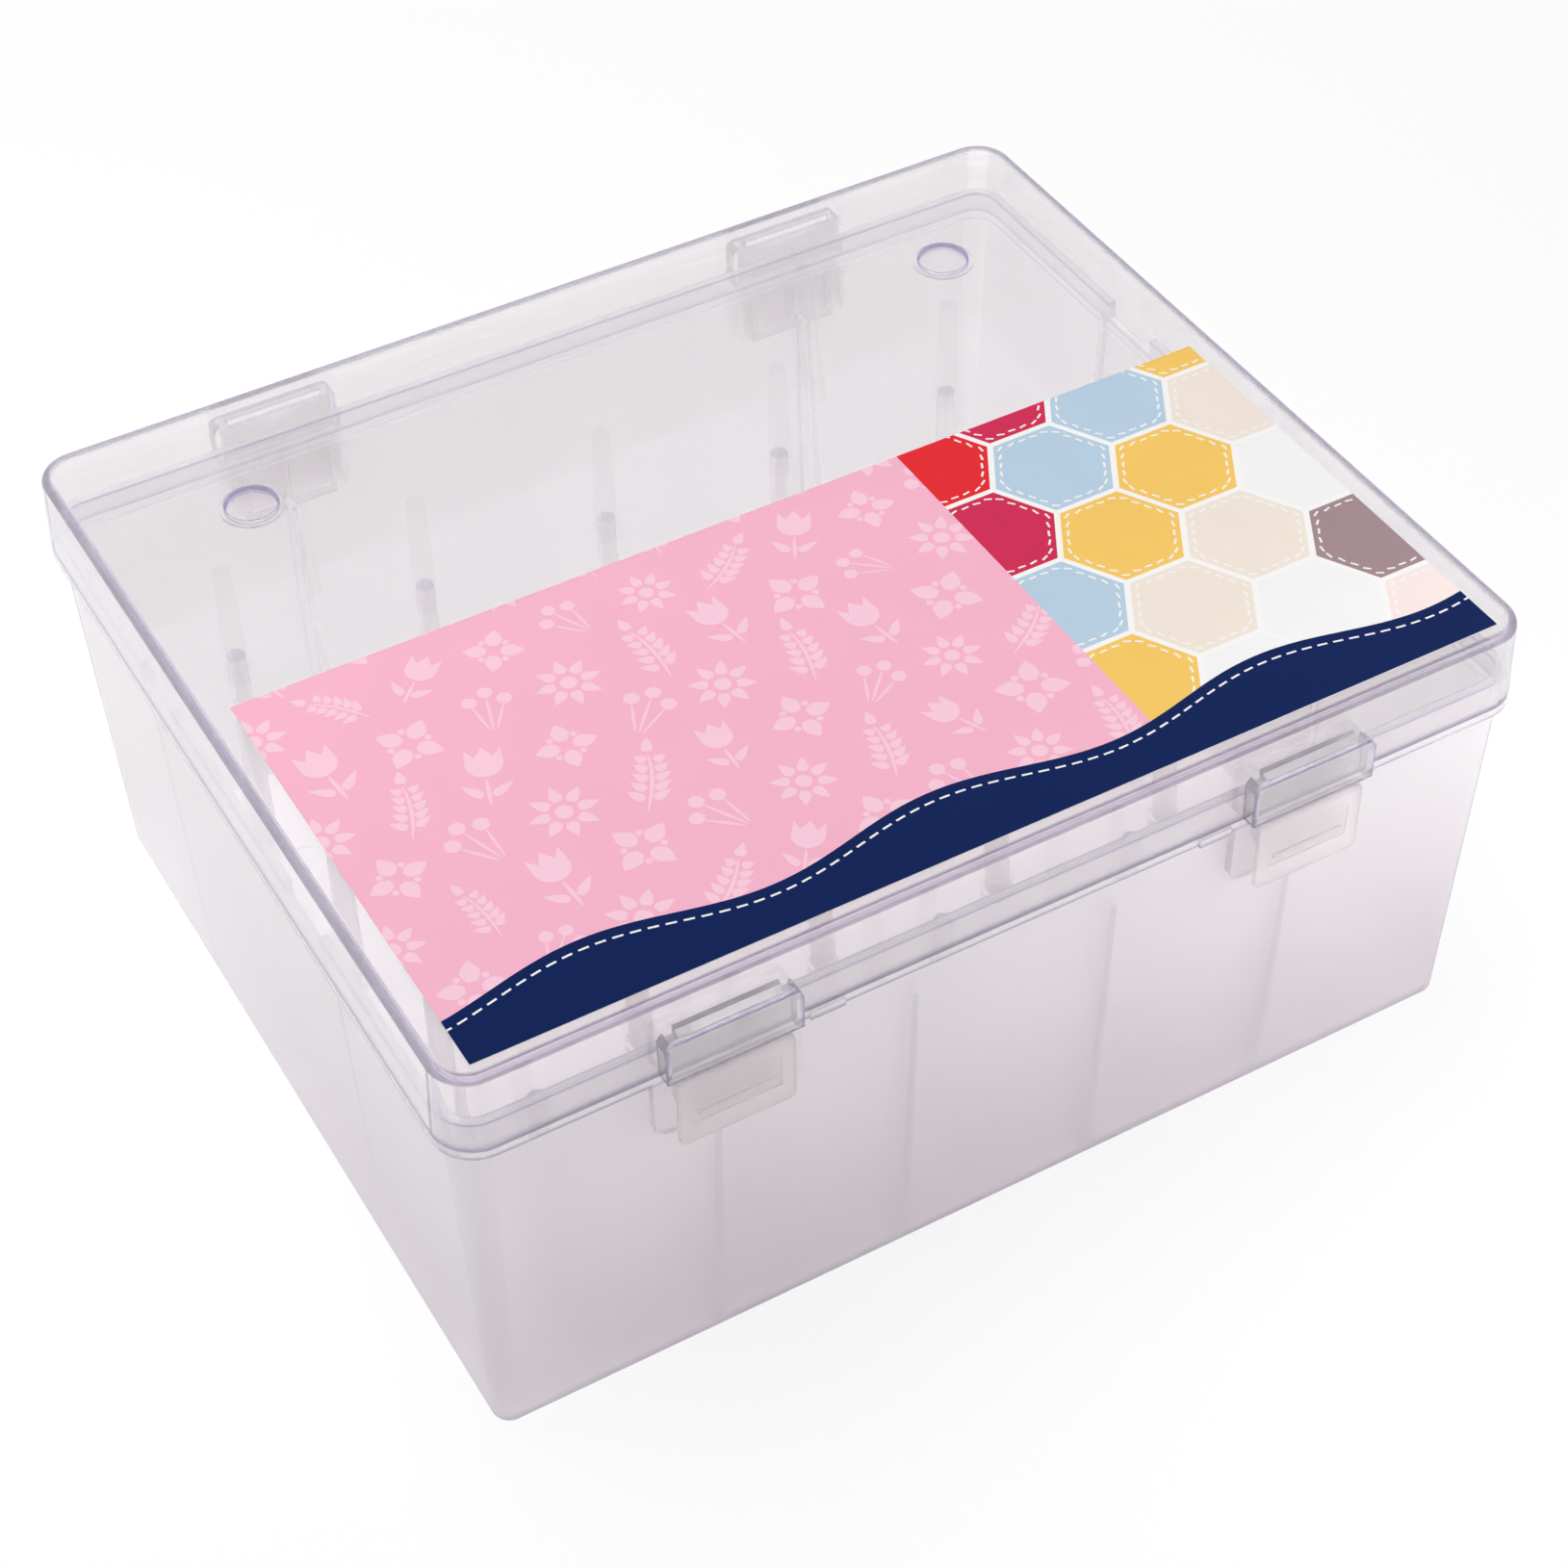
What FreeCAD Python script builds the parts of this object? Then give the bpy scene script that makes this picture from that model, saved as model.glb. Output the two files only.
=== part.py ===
# Clear hinged thread box: a drafted tub with twenty push-in pegs, a lid on two rear
# hinge inserts, two front latch flaps and a printed card on the lid.
# Millimetres. X runs along the length, Y to the rear, Z up. The origin is at the middle
# of the underside, on the plane that the feet stand on.
import FreeCAD
import Part
import math
import os

V = FreeCAD.Vector

# Overall shell
LENGTH = 295.0            # lid skirt at its lower edge, outside
DEPTH = 249.0             # lid skirt at its lower edge, outside
HEIGHT = 134.0            # top face of the lid
CORNER = 11.0             # corner radius of the lid skirt and the flange
RIM_Z = 111.0             # the lid's skirt stands on the flange here

# Lid
LID_WALL = 2.0
LID_TOP = 2.0
LID_DRAFT = 1.0           # lean of the skirt from its lower edge to the top
LID_EDGE = 2.0            # round along the top edge
LID_INNER_EDGE = 1.0

# Tub
WALL = 2.2
FLOOR = 2.5
BASE_DRAFT = 3.9          # lean of the wall from the floor to the flange
BASE_EDGE = 1.5           # round along the bottom edge
FLANGE_THICK = 2.6
FLANGE_FILLET = 1.0       # under the flange
TONGUE_HEIGHT = 7.5       # upstand inside the lid's skirt
TONGUE_CLEAR = 0.4        # between the upstand and the skirt
NOTCH_LENGTH = 20.0       # breaks in the upstand, two on each short side
NOTCH_DEPTH = 5.0
NOTCH_Y = 44.0

# Stacking: feet under the tub and matching dimples in the lid
FOOT_X = 103.5
FOOT_Y = 79.3
FOOT_DIA = 12.6
FOOT_HEIGHT = 1.0
DIMPLE_CLEAR = 0.6        # round the foot, radially
DIMPLE_DEPTH = 1.4
DIMPLE_WALL = 1.4

# Fins on the long walls between the spool places, and low ribs on the short walls
FIN_INNER_X = 27.7        # front wall only
FIN_OUTER_X = 80.5        # front and rear wall
FIN_FOOT_WIDTH = 3.4
FIN_FOOT_DEPTH = 9.5
FIN_TIP_WIDTH = 1.5
FIN_TIP_DEPTH = 4.8
FIN_STOP = 11.7           # below the flange
RIB_Y = 55.5
RIB_WIDTH = 1.5
RIB_DEPTH = 1.5
RIB_RISE = 3.6            # above the flange, up the upstand
BAR_ROOT = 1.0            # how far a fin or a rib is sunk in its wall

# Pegs
PEG_COLUMNS = 5
PEG_ROWS = 4
PEG_PITCH_X = 55.8
PEG_PITCH_Y = 59.0
PEG_TOP_Z = 78.0
PEG_TOP_DIA = 5.0
PEG_FOOT_DIA = 6.8
PEG_EDGE = 0.8
SPIGOT_DIA = 5.0
SPIGOT_LENGTH = 3.6
SPIGOT_CLEAR = 0.03       # radial, a push fit
SPIGOT_END_GAP = 0.2
BOSS_DIA = 8.8
BOSS_HEIGHT = 4.0

# Housings for the hinge and latch inserts, two at the front and two at the rear
CLIP_X = 79.0
HOUSING_WIDTH = 35.0
HOUSING_HEIGHT = 12.5
HOUSING_WALL = 1.6
HOUSING_PROUD = 4.2       # past the lid's lower edge
HOUSING_CORNER = 2.6
LID_HOUSING_GAP = 0.7     # open edge above the lid's lower edge
BASE_HOUSING_DROP = 5.0   # open edge below the lid's lower edge
ROOF_WIDTH = 27.0
ROOF_THICK = 1.3
ROOF_RISE = 1.6           # of the sloped roof towards the wall
BACKING_RIB = 1.6
BACKING_PITCH = 12.0

# Inserts in soft natural plastic
LEAF_CLEAR = 0.15         # each side, in the housing
ARCH_WIDTH = 24.5         # hollow in the insert's free edge
ARCH_SAG = 4.2
LEAF_STOP = 0.6           # insert's open edge inside the housing
BEAD_DIA = 2.2
BEAD_CLEAR = 0.05         # radial, running
BEAD_DROP = 1.4           # hinge line below the lid's lower edge
BEAD_OUT = 1.9            # hinge line outside the flange
NECK_THICK = 1.0
CRADLE_DROP = 1.0         # top of the tub's insert below the hinge line
LIP_RISE = 0.6            # lip behind the bead, above the hinge line

# Latch flap
FLAP_WIDTH = 30.2
FLAP_LENGTH = 20.2        # below the hinge line
FLAP_THICK = 1.2
FLAP_OUT = 2.3            # front face outside the hinge line
FLAP_TOP_DROP = 0.2
FLAP_TOP_ROUND = 1.0
FLAP_CORNER = 2.0
FLAP_HEAD = 3.2           # height of the thick hinge end
FLAP_HEAD_BACK = 1.6      # back of the hinge end behind the hinge line
PANEL_DEPTH = 0.4
PANEL_SIDE = 3.6          # plain edge beside the panel
PANEL_LOW = 6.0           # plain edge below it
PANEL_TOP = 1.5           # below the thick hinge end
GRIP_WIDTH = 20.0
GRIP_HEIGHT = 1.3
GRIP_DROP = 11.5          # below the hinge line

# Seat pad, catch and thumb ledge of each latch, on the tub's front wall
PAD_WIDTH = 38.0
PAD_DROP = 21.0           # lower edge below the flange's top
PAD_CHAMFER = 2.4
PAD_INSET = 0.3           # face behind the flange's edge
CATCH_WIDTH = 22.0
CATCH_HEIGHT = 2.0
CATCH_PROUD = 1.4
CATCH_DROP = 12.0         # its underside below the flange's top
HOOK_WIDTH = 20.0
HOOK_HEIGHT = 2.2
HOOK_GAP = 0.4            # to the catch and to the pad
LEDGE_LENGTH = 9.2
LEDGE_PROUD = 0.9
LEDGE_HEIGHT = 2.3
LEDGE_GAP = 3.5           # from the housing's side, along the rim
LEDGE_DROP = 0.2

# Card on the lid
CARD_LENGTH = 277.0
CARD_DEPTH = 130.0
CARD_THICK = 0.25
CARD_FRONT = 5.5          # from the lid's front edge

# Derived places
OVERHANG = LID_WALL + TONGUE_CLEAR
FLANGE_Z = RIM_Z - FLANGE_THICK
FLOOR_Z = FOOT_HEIGHT + FLOOR
TONGUE_Z = RIM_Z + TONGUE_HEIGHT
RIM_OUT = DEPTH / 2
HOUSING_OUT = RIM_OUT + HOUSING_PROUD
POCKET_OUT = HOUSING_OUT - HOUSING_WALL
LEAF_BACK = RIM_OUT + LEAF_CLEAR
LEAF_FRONT = POCKET_OUT - LEAF_CLEAR
LEAF_WIDTH = HOUSING_WIDTH - 2 * (HOUSING_WALL + LEAF_CLEAR)
HINGE_OUT = RIM_OUT + BEAD_OUT
HINGE_Z = RIM_Z - BEAD_DROP
LID_OPEN_Z = RIM_Z + LID_HOUSING_GAP
BASE_OPEN_Z = RIM_Z - BASE_HOUSING_DROP
PAD_OUT = RIM_OUT - PAD_INSET
CATCH_Z = RIM_Z - CATCH_DROP
BOSS_Z = FLOOR_Z + BOSS_HEIGHT
FRONT = -1
REAR = 1
SIDES = {"left": -CLIP_X, "right": CLIP_X}


# Basic forms

def outline(inset, z):
    """Rounded rectangle at height z, offset inwards from the lid's lower edge."""
    hx = LENGTH / 2 - inset
    hy = DEPTH / 2 - inset
    r = CORNER - inset
    s = r * math.sqrt(0.5)
    edges = []
    for k, (cx, cy) in enumerate(((hx, hy), (-hx, hy), (-hx, -hy), (hx, -hy))):
        ux, uy = math.copysign(1, cx), math.copysign(1, cy)
        mx, my = cx - ux * r, cy - uy * r
        ends = [V(cx, my, z), V(mx, cy, z)]
        if k % 2:
            ends.reverse()
        edges.append(Part.Arc(ends[0], V(mx + ux * s, my + uy * s, z), ends[1]).toShape())
    wire = []
    for k, arc in enumerate(edges):
        after = edges[(k + 1) % 4]
        wire.append(arc)
        wire.append(Part.makeLine(arc.Vertexes[-1].Point, after.Vertexes[0].Point))
    return Part.Wire(wire)


def frustum(inset0, z0, inset1, z1):
    """Solid between two outlines, with flat sides and conical corners."""
    return Part.makeLoft([outline(inset0, z0), outline(inset1, z1)], True, True)


def block(x0, x1, y0, y1, z0, z1):
    x0, x1 = sorted((x0, x1))
    y0, y1 = sorted((y0, y1))
    z0, z1 = sorted((z0, z1))
    return Part.makeBox(x1 - x0, y1 - y0, z1 - z0, V(x0, y0, z0))


def profile(points, side, x, width):
    """Polygon of (distance out, height) on the front or rear side, drawn out along X."""
    ring = [V(x - width / 2, side * out, z) for out, z in points]
    face = Part.Face(Part.makePolygon(ring + ring[:1]))
    return face.extrude(V(width, 0, 0))


def rod(dia, side, out, z, x, width):
    return Part.makeCylinder(dia / 2, width, V(x - width / 2, side * out, z), V(1, 0, 0))


def post(dia, x, y, z0, z1):
    return Part.makeCylinder(dia / 2, z1 - z0, V(x, y, z0))


def edges_at(shape, test):
    """Edges whose points at both ends and in the middle all pass the test."""
    found = []
    for edge in shape.Edges:
        a, b = edge.ParameterRange
        spots = [edge.valueAt(a + (b - a) * k / 4) for k in range(5)]
        if all(test(p) for p in spots):
            found.append(edge)
    return found


def near(a, b):
    return abs(a - b) < 1e-4


# Places along the drafted walls

def wall_inset(z):
    """Inset of the tub wall's outer face at height z."""
    share = (FLANGE_Z - z) / (FLANGE_Z - FOOT_HEIGHT)
    return OVERHANG + BASE_DRAFT * share


def skirt_inset(z):
    """Inset of the lid skirt's outer face at height z."""
    return LID_DRAFT * (z - RIM_Z) / (HEIGHT - RIM_Z)


def peg_places():
    for row in range(PEG_ROWS):
        for column in range(PEG_COLUMNS):
            x = (column - (PEG_COLUMNS - 1) / 2) * PEG_PITCH_X
            y = (row - (PEG_ROWS - 1) / 2) * PEG_PITCH_Y
            yield row + 1, column + 1, x, y


def foot_places():
    return [(sx * FOOT_X, sy * FOOT_Y) for sx in (-1, 1) for sy in (-1, 1)]


# Housings that hold the hinge and latch inserts

def housing(side, x, open_z, up, root):
    """Plate, two cheeks and a sloped roof round a pocket that is open at open_z."""
    def z(h):
        return open_z + up * h
    half = HOUSING_WIDTH / 2
    shell = block(x - half, x + half, side * root, side * HOUSING_OUT, z(0), z(HOUSING_HEIGHT))
    shell = shell.makeFillet(HOUSING_CORNER, edges_at(
        shell, lambda p: near(p.z, z(HOUSING_HEIGHT)) and near(abs(p.x - x), half)))
    inner = half - HOUSING_WALL
    pocket = block(x - inner, x + inner, side * (root - 1), side * POCKET_OUT,
                   z(-1), z(HOUSING_HEIGHT + 1))
    under = z(HOUSING_HEIGHT - ROOF_THICK)
    tie = HOUSING_OUT - HOUSING_WALL / 2
    roof = [(root, under), (tie, under), (tie, z(HOUSING_HEIGHT)), (POCKET_OUT, z(HOUSING_HEIGHT)),
            (root, z(HOUSING_HEIGHT + ROOF_RISE))]
    return shell.cut(pocket).fuse(profile(roof, side, x, ROOF_WIDTH))


# The tub

def bar(side, half, along, foot, tip, place):
    """Upright bar sunk in a drafted wall. Foot and tip give its height, width and depth."""
    loops = []
    for z, width, depth in (foot, tip):
        face = half - wall_inset(z) - WALL
        ring = []
        for across, out in ((-1, BAR_ROOT), (1, BAR_ROOT), (1, -depth), (-1, -depth)):
            ring.append(place(along + across * width / 2, side * (face + out), z))
        loops.append(Part.makePolygon(ring + ring[:1]))
    return Part.makeLoft(loops, True, True)


def wall_bars():
    """Fins that grow slimmer towards the top, and ribs of one size up to the upstand."""
    low = FLOOR_Z - BAR_ROOT
    foot = (low, FIN_FOOT_WIDTH, FIN_FOOT_DEPTH)
    tip = (FLANGE_Z - FIN_STOP, FIN_TIP_WIDTH, FIN_TIP_DEPTH)
    bars = []
    for side, places in ((FRONT, (FIN_INNER_X, FIN_OUTER_X)), (REAR, (FIN_OUTER_X,))):
        for x in places:
            for along in (-x, x):
                bars.append(bar(side, DEPTH / 2, along, foot, tip, lambda a, o, z: V(a, o, z)))
    foot = (low, RIB_WIDTH, RIB_DEPTH)
    tip = (RIM_Z + RIB_RISE, RIB_WIDTH, RIB_DEPTH)
    for side in (-1, 1):
        for along in (-RIB_Y, RIB_Y):
            bars.append(bar(side, LENGTH / 2, along, foot, tip, lambda a, o, z: V(o, a, z)))
    return bars


def latch_seat(x):
    """Pad with cut lower corners, the catch across it and the thumb ledge beside it."""
    inner = RIM_OUT - OVERHANG - WALL / 2
    low = RIM_Z - PAD_DROP
    half = PAD_WIDTH / 2
    c = PAD_CHAMFER
    root = inner - BASE_DRAFT
    ring = [V(x - half, -root, FLANGE_Z), V(x - half, -root, low + c), V(x - half + c, -root, low),
            V(x + half - c, -root, low), V(x + half, -root, low + c), V(x + half, -root, FLANGE_Z)]
    pad = Part.Face(Part.makePolygon(ring + ring[:1])).extrude(V(0, root - PAD_OUT, 0))
    catch = profile([(inner, CATCH_Z), (PAD_OUT + CATCH_PROUD, CATCH_Z),
                     (PAD_OUT + CATCH_PROUD, CATCH_Z + CATCH_HEIGHT / 2),
                     (PAD_OUT, CATCH_Z + CATCH_HEIGHT), (inner, CATCH_Z + CATCH_HEIGHT)],
                    FRONT, x, CATCH_WIDTH)
    toward = -math.copysign(1, x)
    start = x + toward * (HOUSING_WIDTH / 2 + LEDGE_GAP)
    top = RIM_Z - LEDGE_DROP
    ledge = block(start, start + toward * LEDGE_LENGTH, -(RIM_OUT - OVERHANG),
                  -(RIM_OUT + LEDGE_PROUD), top - LEDGE_HEIGHT, top)
    return [pad, catch, ledge]


def under_flange(p):
    """True on the line where the wall meets the flange."""
    past_side = abs(p.x) > LENGTH / 2 - OVERHANG / 2
    past_end = abs(p.y) > DEPTH / 2 - OVERHANG / 2
    cx = max(abs(p.x) - LENGTH / 2 + CORNER, 0)
    cy = max(abs(p.y) - DEPTH / 2 + CORNER, 0)
    past_corner = math.hypot(cx, cy) > CORNER - OVERHANG / 2
    return near(p.z, FLANGE_Z) and not (past_side or past_end or past_corner)


def base_box():
    foot_inset = OVERHANG + BASE_DRAFT
    tub = frustum(foot_inset, FOOT_HEIGHT, OVERHANG, FLANGE_Z)
    tub = tub.makeFillet(BASE_EDGE, edges_at(tub, lambda p: near(p.z, FOOT_HEIGHT)))
    tub = tub.fuse(frustum(0, FLANGE_Z, 0, RIM_Z)).removeSplitter()
    tub = tub.makeFillet(FLANGE_FILLET, edges_at(tub, under_flange))
    lean = skirt_inset(TONGUE_Z)
    extra = [frustum(OVERHANG, RIM_Z, OVERHANG + lean, TONGUE_Z)]
    for x in SIDES.values():
        extra += latch_seat(x)
        extra.append(housing(REAR, x, BASE_OPEN_Z, -1, RIM_OUT - OVERHANG - WALL / 2))
        for k in (-1, 0, 1):
            rib_x = x + k * BACKING_PITCH
            extra.append(block(rib_x - BACKING_RIB / 2, rib_x + BACKING_RIB / 2,
                               RIM_OUT - OVERHANG - BASE_DRAFT, RIM_OUT,
                               BASE_OPEN_Z - HOUSING_HEIGHT, BASE_OPEN_Z))
    body = tub.fuse(extra)
    floor_inset = wall_inset(FLOOR_Z) + WALL
    rim_inset = OVERHANG + WALL
    body = body.cut([frustum(floor_inset, FLOOR_Z, rim_inset, FLANGE_Z),
                     frustum(rim_inset, FLANGE_Z, rim_inset + lean, TONGUE_Z)])
    bosses = []
    bores = []
    for row, column, x, y in peg_places():
        bosses.append(post(BOSS_DIA, x, y, FLOOR_Z - FLOOR / 2, BOSS_Z))
        bores.append(post(SPIGOT_DIA + 2 * SPIGOT_CLEAR, x, y,
                          BOSS_Z - SPIGOT_LENGTH - SPIGOT_END_GAP, BOSS_Z))
    feet = [post(FOOT_DIA, x, y, 0, FOOT_HEIGHT + FLOOR / 2) for x, y in foot_places()]
    notches = []
    for sx in (-1, 1):
        for sy in (-1, 1):
            y = sy * NOTCH_Y
            notches.append(block(sx * (LENGTH / 2 - OVERHANG + 1), sx * (LENGTH / 2 - rim_inset - 2),
                                 y - NOTCH_LENGTH / 2, y + NOTCH_LENGTH / 2,
                                 TONGUE_Z - NOTCH_DEPTH, TONGUE_Z + 1))
    return body.fuse(wall_bars() + bosses + feet).cut(bores + notches).removeSplitter()


# The lid

def lid_shell():
    lid = frustum(0, RIM_Z, LID_DRAFT, HEIGHT)
    lid = lid.makeFillet(LID_EDGE, edges_at(lid, lambda p: near(p.z, HEIGHT)))
    under = HEIGHT - LID_TOP
    room = frustum(LID_WALL, RIM_Z, LID_WALL + skirt_inset(under), under)
    room = room.makeFillet(LID_INNER_EDGE, edges_at(room, lambda p: near(p.z, under)))
    housings = []
    for side in (FRONT, REAR):
        for x in SIDES.values():
            housings.append(housing(side, x, LID_OPEN_Z, 1, RIM_OUT - LID_DRAFT - LID_WALL / 2))
    lid = lid.fuse(housings).cut(room)
    dimple_dia = FOOT_DIA + 2 * DIMPLE_CLEAR
    bosses = []
    dimples = []
    for x, y in foot_places():
        low = HEIGHT - DIMPLE_DEPTH
        bosses.append(post(dimple_dia + 2 * DIMPLE_WALL, x, y, low - DIMPLE_WALL, under + LID_TOP / 2))
        dimples.append(post(dimple_dia, x, y, low, HEIGHT + 1))
    return lid.fuse(bosses).cut(dimples).removeSplitter()


def label_card():
    y0 = -(RIM_OUT - CARD_FRONT)
    return block(-CARD_LENGTH / 2, CARD_LENGTH / 2, y0, y0 + CARD_DEPTH, HEIGHT, HEIGHT + CARD_THICK)


# Inserts

def arch(x, side, edge_z, up):
    """Round cutter for the hollow in an insert's free edge, square to the box's front."""
    length = 4 * HOUSING_PROUD
    radius = ((ARCH_WIDTH / 2) ** 2 + ARCH_SAG ** 2) / (2 * ARCH_SAG)
    z = edge_z + up * (radius - ARCH_SAG)
    return Part.makeCylinder(radius, length, V(x, side * HINGE_OUT - length / 2, z), V(0, 1, 0))


def bead_groove(side, x):
    return rod(BEAD_DIA + 2 * BEAD_CLEAR, side, HINGE_OUT, HINGE_Z, x, HOUSING_WIDTH)


def lid_leaf(side, x):
    """Insert pressed up into a lid housing, with a neck and the bead of the hinge line."""
    z0 = LID_OPEN_Z + LEAF_STOP
    z1 = LID_OPEN_Z + HOUSING_HEIGHT - ROOF_THICK - LEAF_CLEAR
    half = LEAF_WIDTH / 2
    body = block(x - half, x + half, side * LEAF_BACK, side * LEAF_FRONT, z0, z1)
    hollow = arch(x, side, z1, 1)
    neck = block(x - FLAP_WIDTH / 2, x + FLAP_WIDTH / 2, side * (HINGE_OUT - NECK_THICK / 2),
                 side * (HINGE_OUT + NECK_THICK / 2), HINGE_Z, z0 + LEAF_STOP)
    bead = rod(BEAD_DIA, side, HINGE_OUT, HINGE_Z, x, FLAP_WIDTH)
    return body.cut(hollow).fuse([neck, bead]).removeSplitter()


def base_leaf(x):
    """Insert pressed down into a rear housing of the tub, hollowed under the bead."""
    z0 = BASE_OPEN_Z - HOUSING_HEIGHT + ROOF_THICK + LEAF_CLEAR
    z1 = HINGE_Z - CRADLE_DROP
    half = LEAF_WIDTH / 2
    body = block(x - half, x + half, LEAF_BACK, LEAF_FRONT, z0, z1)
    hollow = arch(x, REAR, z0, -1)
    lip = block(x - half, x + half, LEAF_BACK, HINGE_OUT, z1 - CRADLE_DROP, HINGE_Z + LIP_RISE)
    return body.cut(hollow).fuse(lip).cut(bead_groove(REAR, x)).removeSplitter()


def latch_flap(x):
    """Thin flap with a thick hinge end, a hook behind and a sunk grip panel in front."""
    out = HINGE_OUT + FLAP_OUT
    back = out - FLAP_THICK
    head = HINGE_OUT - FLAP_HEAD_BACK
    top = HINGE_Z - FLAP_TOP_DROP
    low = HINGE_Z - FLAP_LENGTH
    slope = back - head
    plate = profile([(out, low), (out, top), (head, top), (head, top - FLAP_HEAD),
                     (back, top - FLAP_HEAD - slope), (back, low)], FRONT, x, FLAP_WIDTH)
    plate = plate.makeFillet(FLAP_TOP_ROUND, edges_at(
        plate, lambda p: near(p.z, top) and near(-p.y, out)))
    half = FLAP_WIDTH / 2
    plate = plate.makeFillet(FLAP_CORNER, edges_at(
        plate, lambda p: near(p.z, low) and near(abs(p.x - x), half)))
    hook_top = CATCH_Z - HOOK_GAP
    hook_out = PAD_OUT + HOOK_GAP
    hook = profile([(back + FLAP_THICK / 2, hook_top), (hook_out, hook_top),
                    (hook_out, hook_top - HOOK_HEIGHT / 3), (back, hook_top - HOOK_HEIGHT),
                    (back + FLAP_THICK / 2, hook_top - HOOK_HEIGHT)], FRONT, x, HOOK_WIDTH)
    lip = block(x - half, x + half, -head, -HINGE_OUT, top - FLAP_HEAD / 2, HINGE_Z + LIP_RISE)
    wide = half - PANEL_SIDE
    panel = block(x - wide, x + wide, -(out - PANEL_DEPTH), -(out + 1),
                  low + PANEL_LOW, top - FLAP_HEAD - PANEL_TOP)
    grip_z = HINGE_Z - GRIP_DROP
    grip = block(x - GRIP_WIDTH / 2, x + GRIP_WIDTH / 2, -back, -out,
                 grip_z - GRIP_HEIGHT / 2, grip_z + GRIP_HEIGHT / 2)
    body = plate.fuse([hook, lip]).cut([bead_groove(FRONT, x), panel])
    return body.fuse(grip).removeSplitter()


# Pegs

def peg(x, y):
    """Tapered peg with a rounded top, on a spigot that is pushed into its boss."""
    body = Part.makeCone(PEG_FOOT_DIA / 2, PEG_TOP_DIA / 2, PEG_TOP_Z - BOSS_Z, V(x, y, BOSS_Z))
    body = body.makeFillet(PEG_EDGE, edges_at(body, lambda p: near(p.z, PEG_TOP_Z)))
    return body.fuse(post(SPIGOT_DIA, x, y, BOSS_Z - SPIGOT_LENGTH, BOSS_Z)).removeSplitter()


def main():
    nodes = {"base_box": base_box(), "lid_shell": lid_shell(), "label_card": label_card()}
    for name, x in SIDES.items():
        nodes["latch_insert_" + name] = lid_leaf(FRONT, x)
        nodes["latch_flap_" + name] = latch_flap(x)
        nodes["hinge_insert_lid_" + name] = lid_leaf(REAR, x)
        nodes["hinge_insert_base_" + name] = base_leaf(x)
    for row, column, x, y in peg_places():
        nodes["peg_r%d_c%d" % (row, column)] = peg(x, y)
    os.makedirs("parts", exist_ok=True)
    for name, shape in nodes.items():
        solid = shape.Solids[0] if len(shape.Solids) == 1 else shape
        print(name, "valid" if solid.isValid() else "INVALID", len(shape.Solids), "solid",
              "%.0f mm3" % solid.Volume)
        solid.exportStep("parts/%s.step" % name)


main()
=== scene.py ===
"""Clear thread spool box: finishes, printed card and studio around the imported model."""
import math

import bmesh
import bpy
from bpy.props import FloatProperty, FloatVectorProperty, IntProperty, PointerProperty
from bpy.types import Operator, Panel, PropertyGroup
from mathutils import Matrix, Vector


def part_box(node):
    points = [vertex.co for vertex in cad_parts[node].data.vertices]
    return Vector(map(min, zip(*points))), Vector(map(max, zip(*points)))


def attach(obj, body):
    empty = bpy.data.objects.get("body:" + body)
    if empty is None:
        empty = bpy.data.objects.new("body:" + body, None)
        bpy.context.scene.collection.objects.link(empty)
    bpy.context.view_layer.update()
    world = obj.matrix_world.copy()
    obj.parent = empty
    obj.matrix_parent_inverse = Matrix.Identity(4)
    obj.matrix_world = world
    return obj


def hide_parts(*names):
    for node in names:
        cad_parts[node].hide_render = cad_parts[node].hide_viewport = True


bl_info = {
    "name": "Thread Spool Box",
    "version": (1, 0, 0),
    "blender": (4, 5, 0),
    "location": "View3D > Sidebar > Spool Box",
    "description": "Finishes, printed card and studio for a clear thread spool box",
    "category": "Object",
}

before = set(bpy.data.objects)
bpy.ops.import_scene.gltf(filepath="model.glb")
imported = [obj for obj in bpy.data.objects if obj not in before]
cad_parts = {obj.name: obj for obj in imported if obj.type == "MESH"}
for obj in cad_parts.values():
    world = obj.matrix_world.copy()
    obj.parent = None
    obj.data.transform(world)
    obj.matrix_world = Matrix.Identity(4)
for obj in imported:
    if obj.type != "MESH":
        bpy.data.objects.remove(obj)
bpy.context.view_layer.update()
MM = 0.001

# Sizes of the box that its finishes follow
TUB_LENGTH = 295.0 * MM
TUB_DEPTH = 249.0 * MM
TUB_CORNER = 11.0 * MM
TUB_OVERHANG = 2.4 * MM
TUB_WALL = 2.2 * MM
TUB_DRAFT = 3.9 * MM
FLOOR_MIDDLE = 2.2 * MM
SATIN_STOP = 3.0 * MM
FIN_INNER = 27.7 * MM
FIN_OUTER = 80.5 * MM
FIN_FOOT = 3.4 * MM
FIN_TIP = 1.5 * MM
FIN_TOP = 96.7 * MM
RIB_PLACE = 55.5 * MM
RIB_TIP = 1.5 * MM
TONGUE_TOP = 118.5 * MM
FLANGE_LOW = 108.4 * MM
HOUSING_X = 79.0 * MM
HOUSING_HALF = 17.5 * MM
HOUSING_OUT = 128.7 * MM
HOUSING_HIGH = 12.5 * MM
LID_HOUSING = 111.7 * MM
TUB_HOUSING = 93.5 * MM
DIMPLE_X = 103.5 * MM
DIMPLE_Y = 79.3 * MM
DIMPLE_RADIUS = 6.9 * MM

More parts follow.
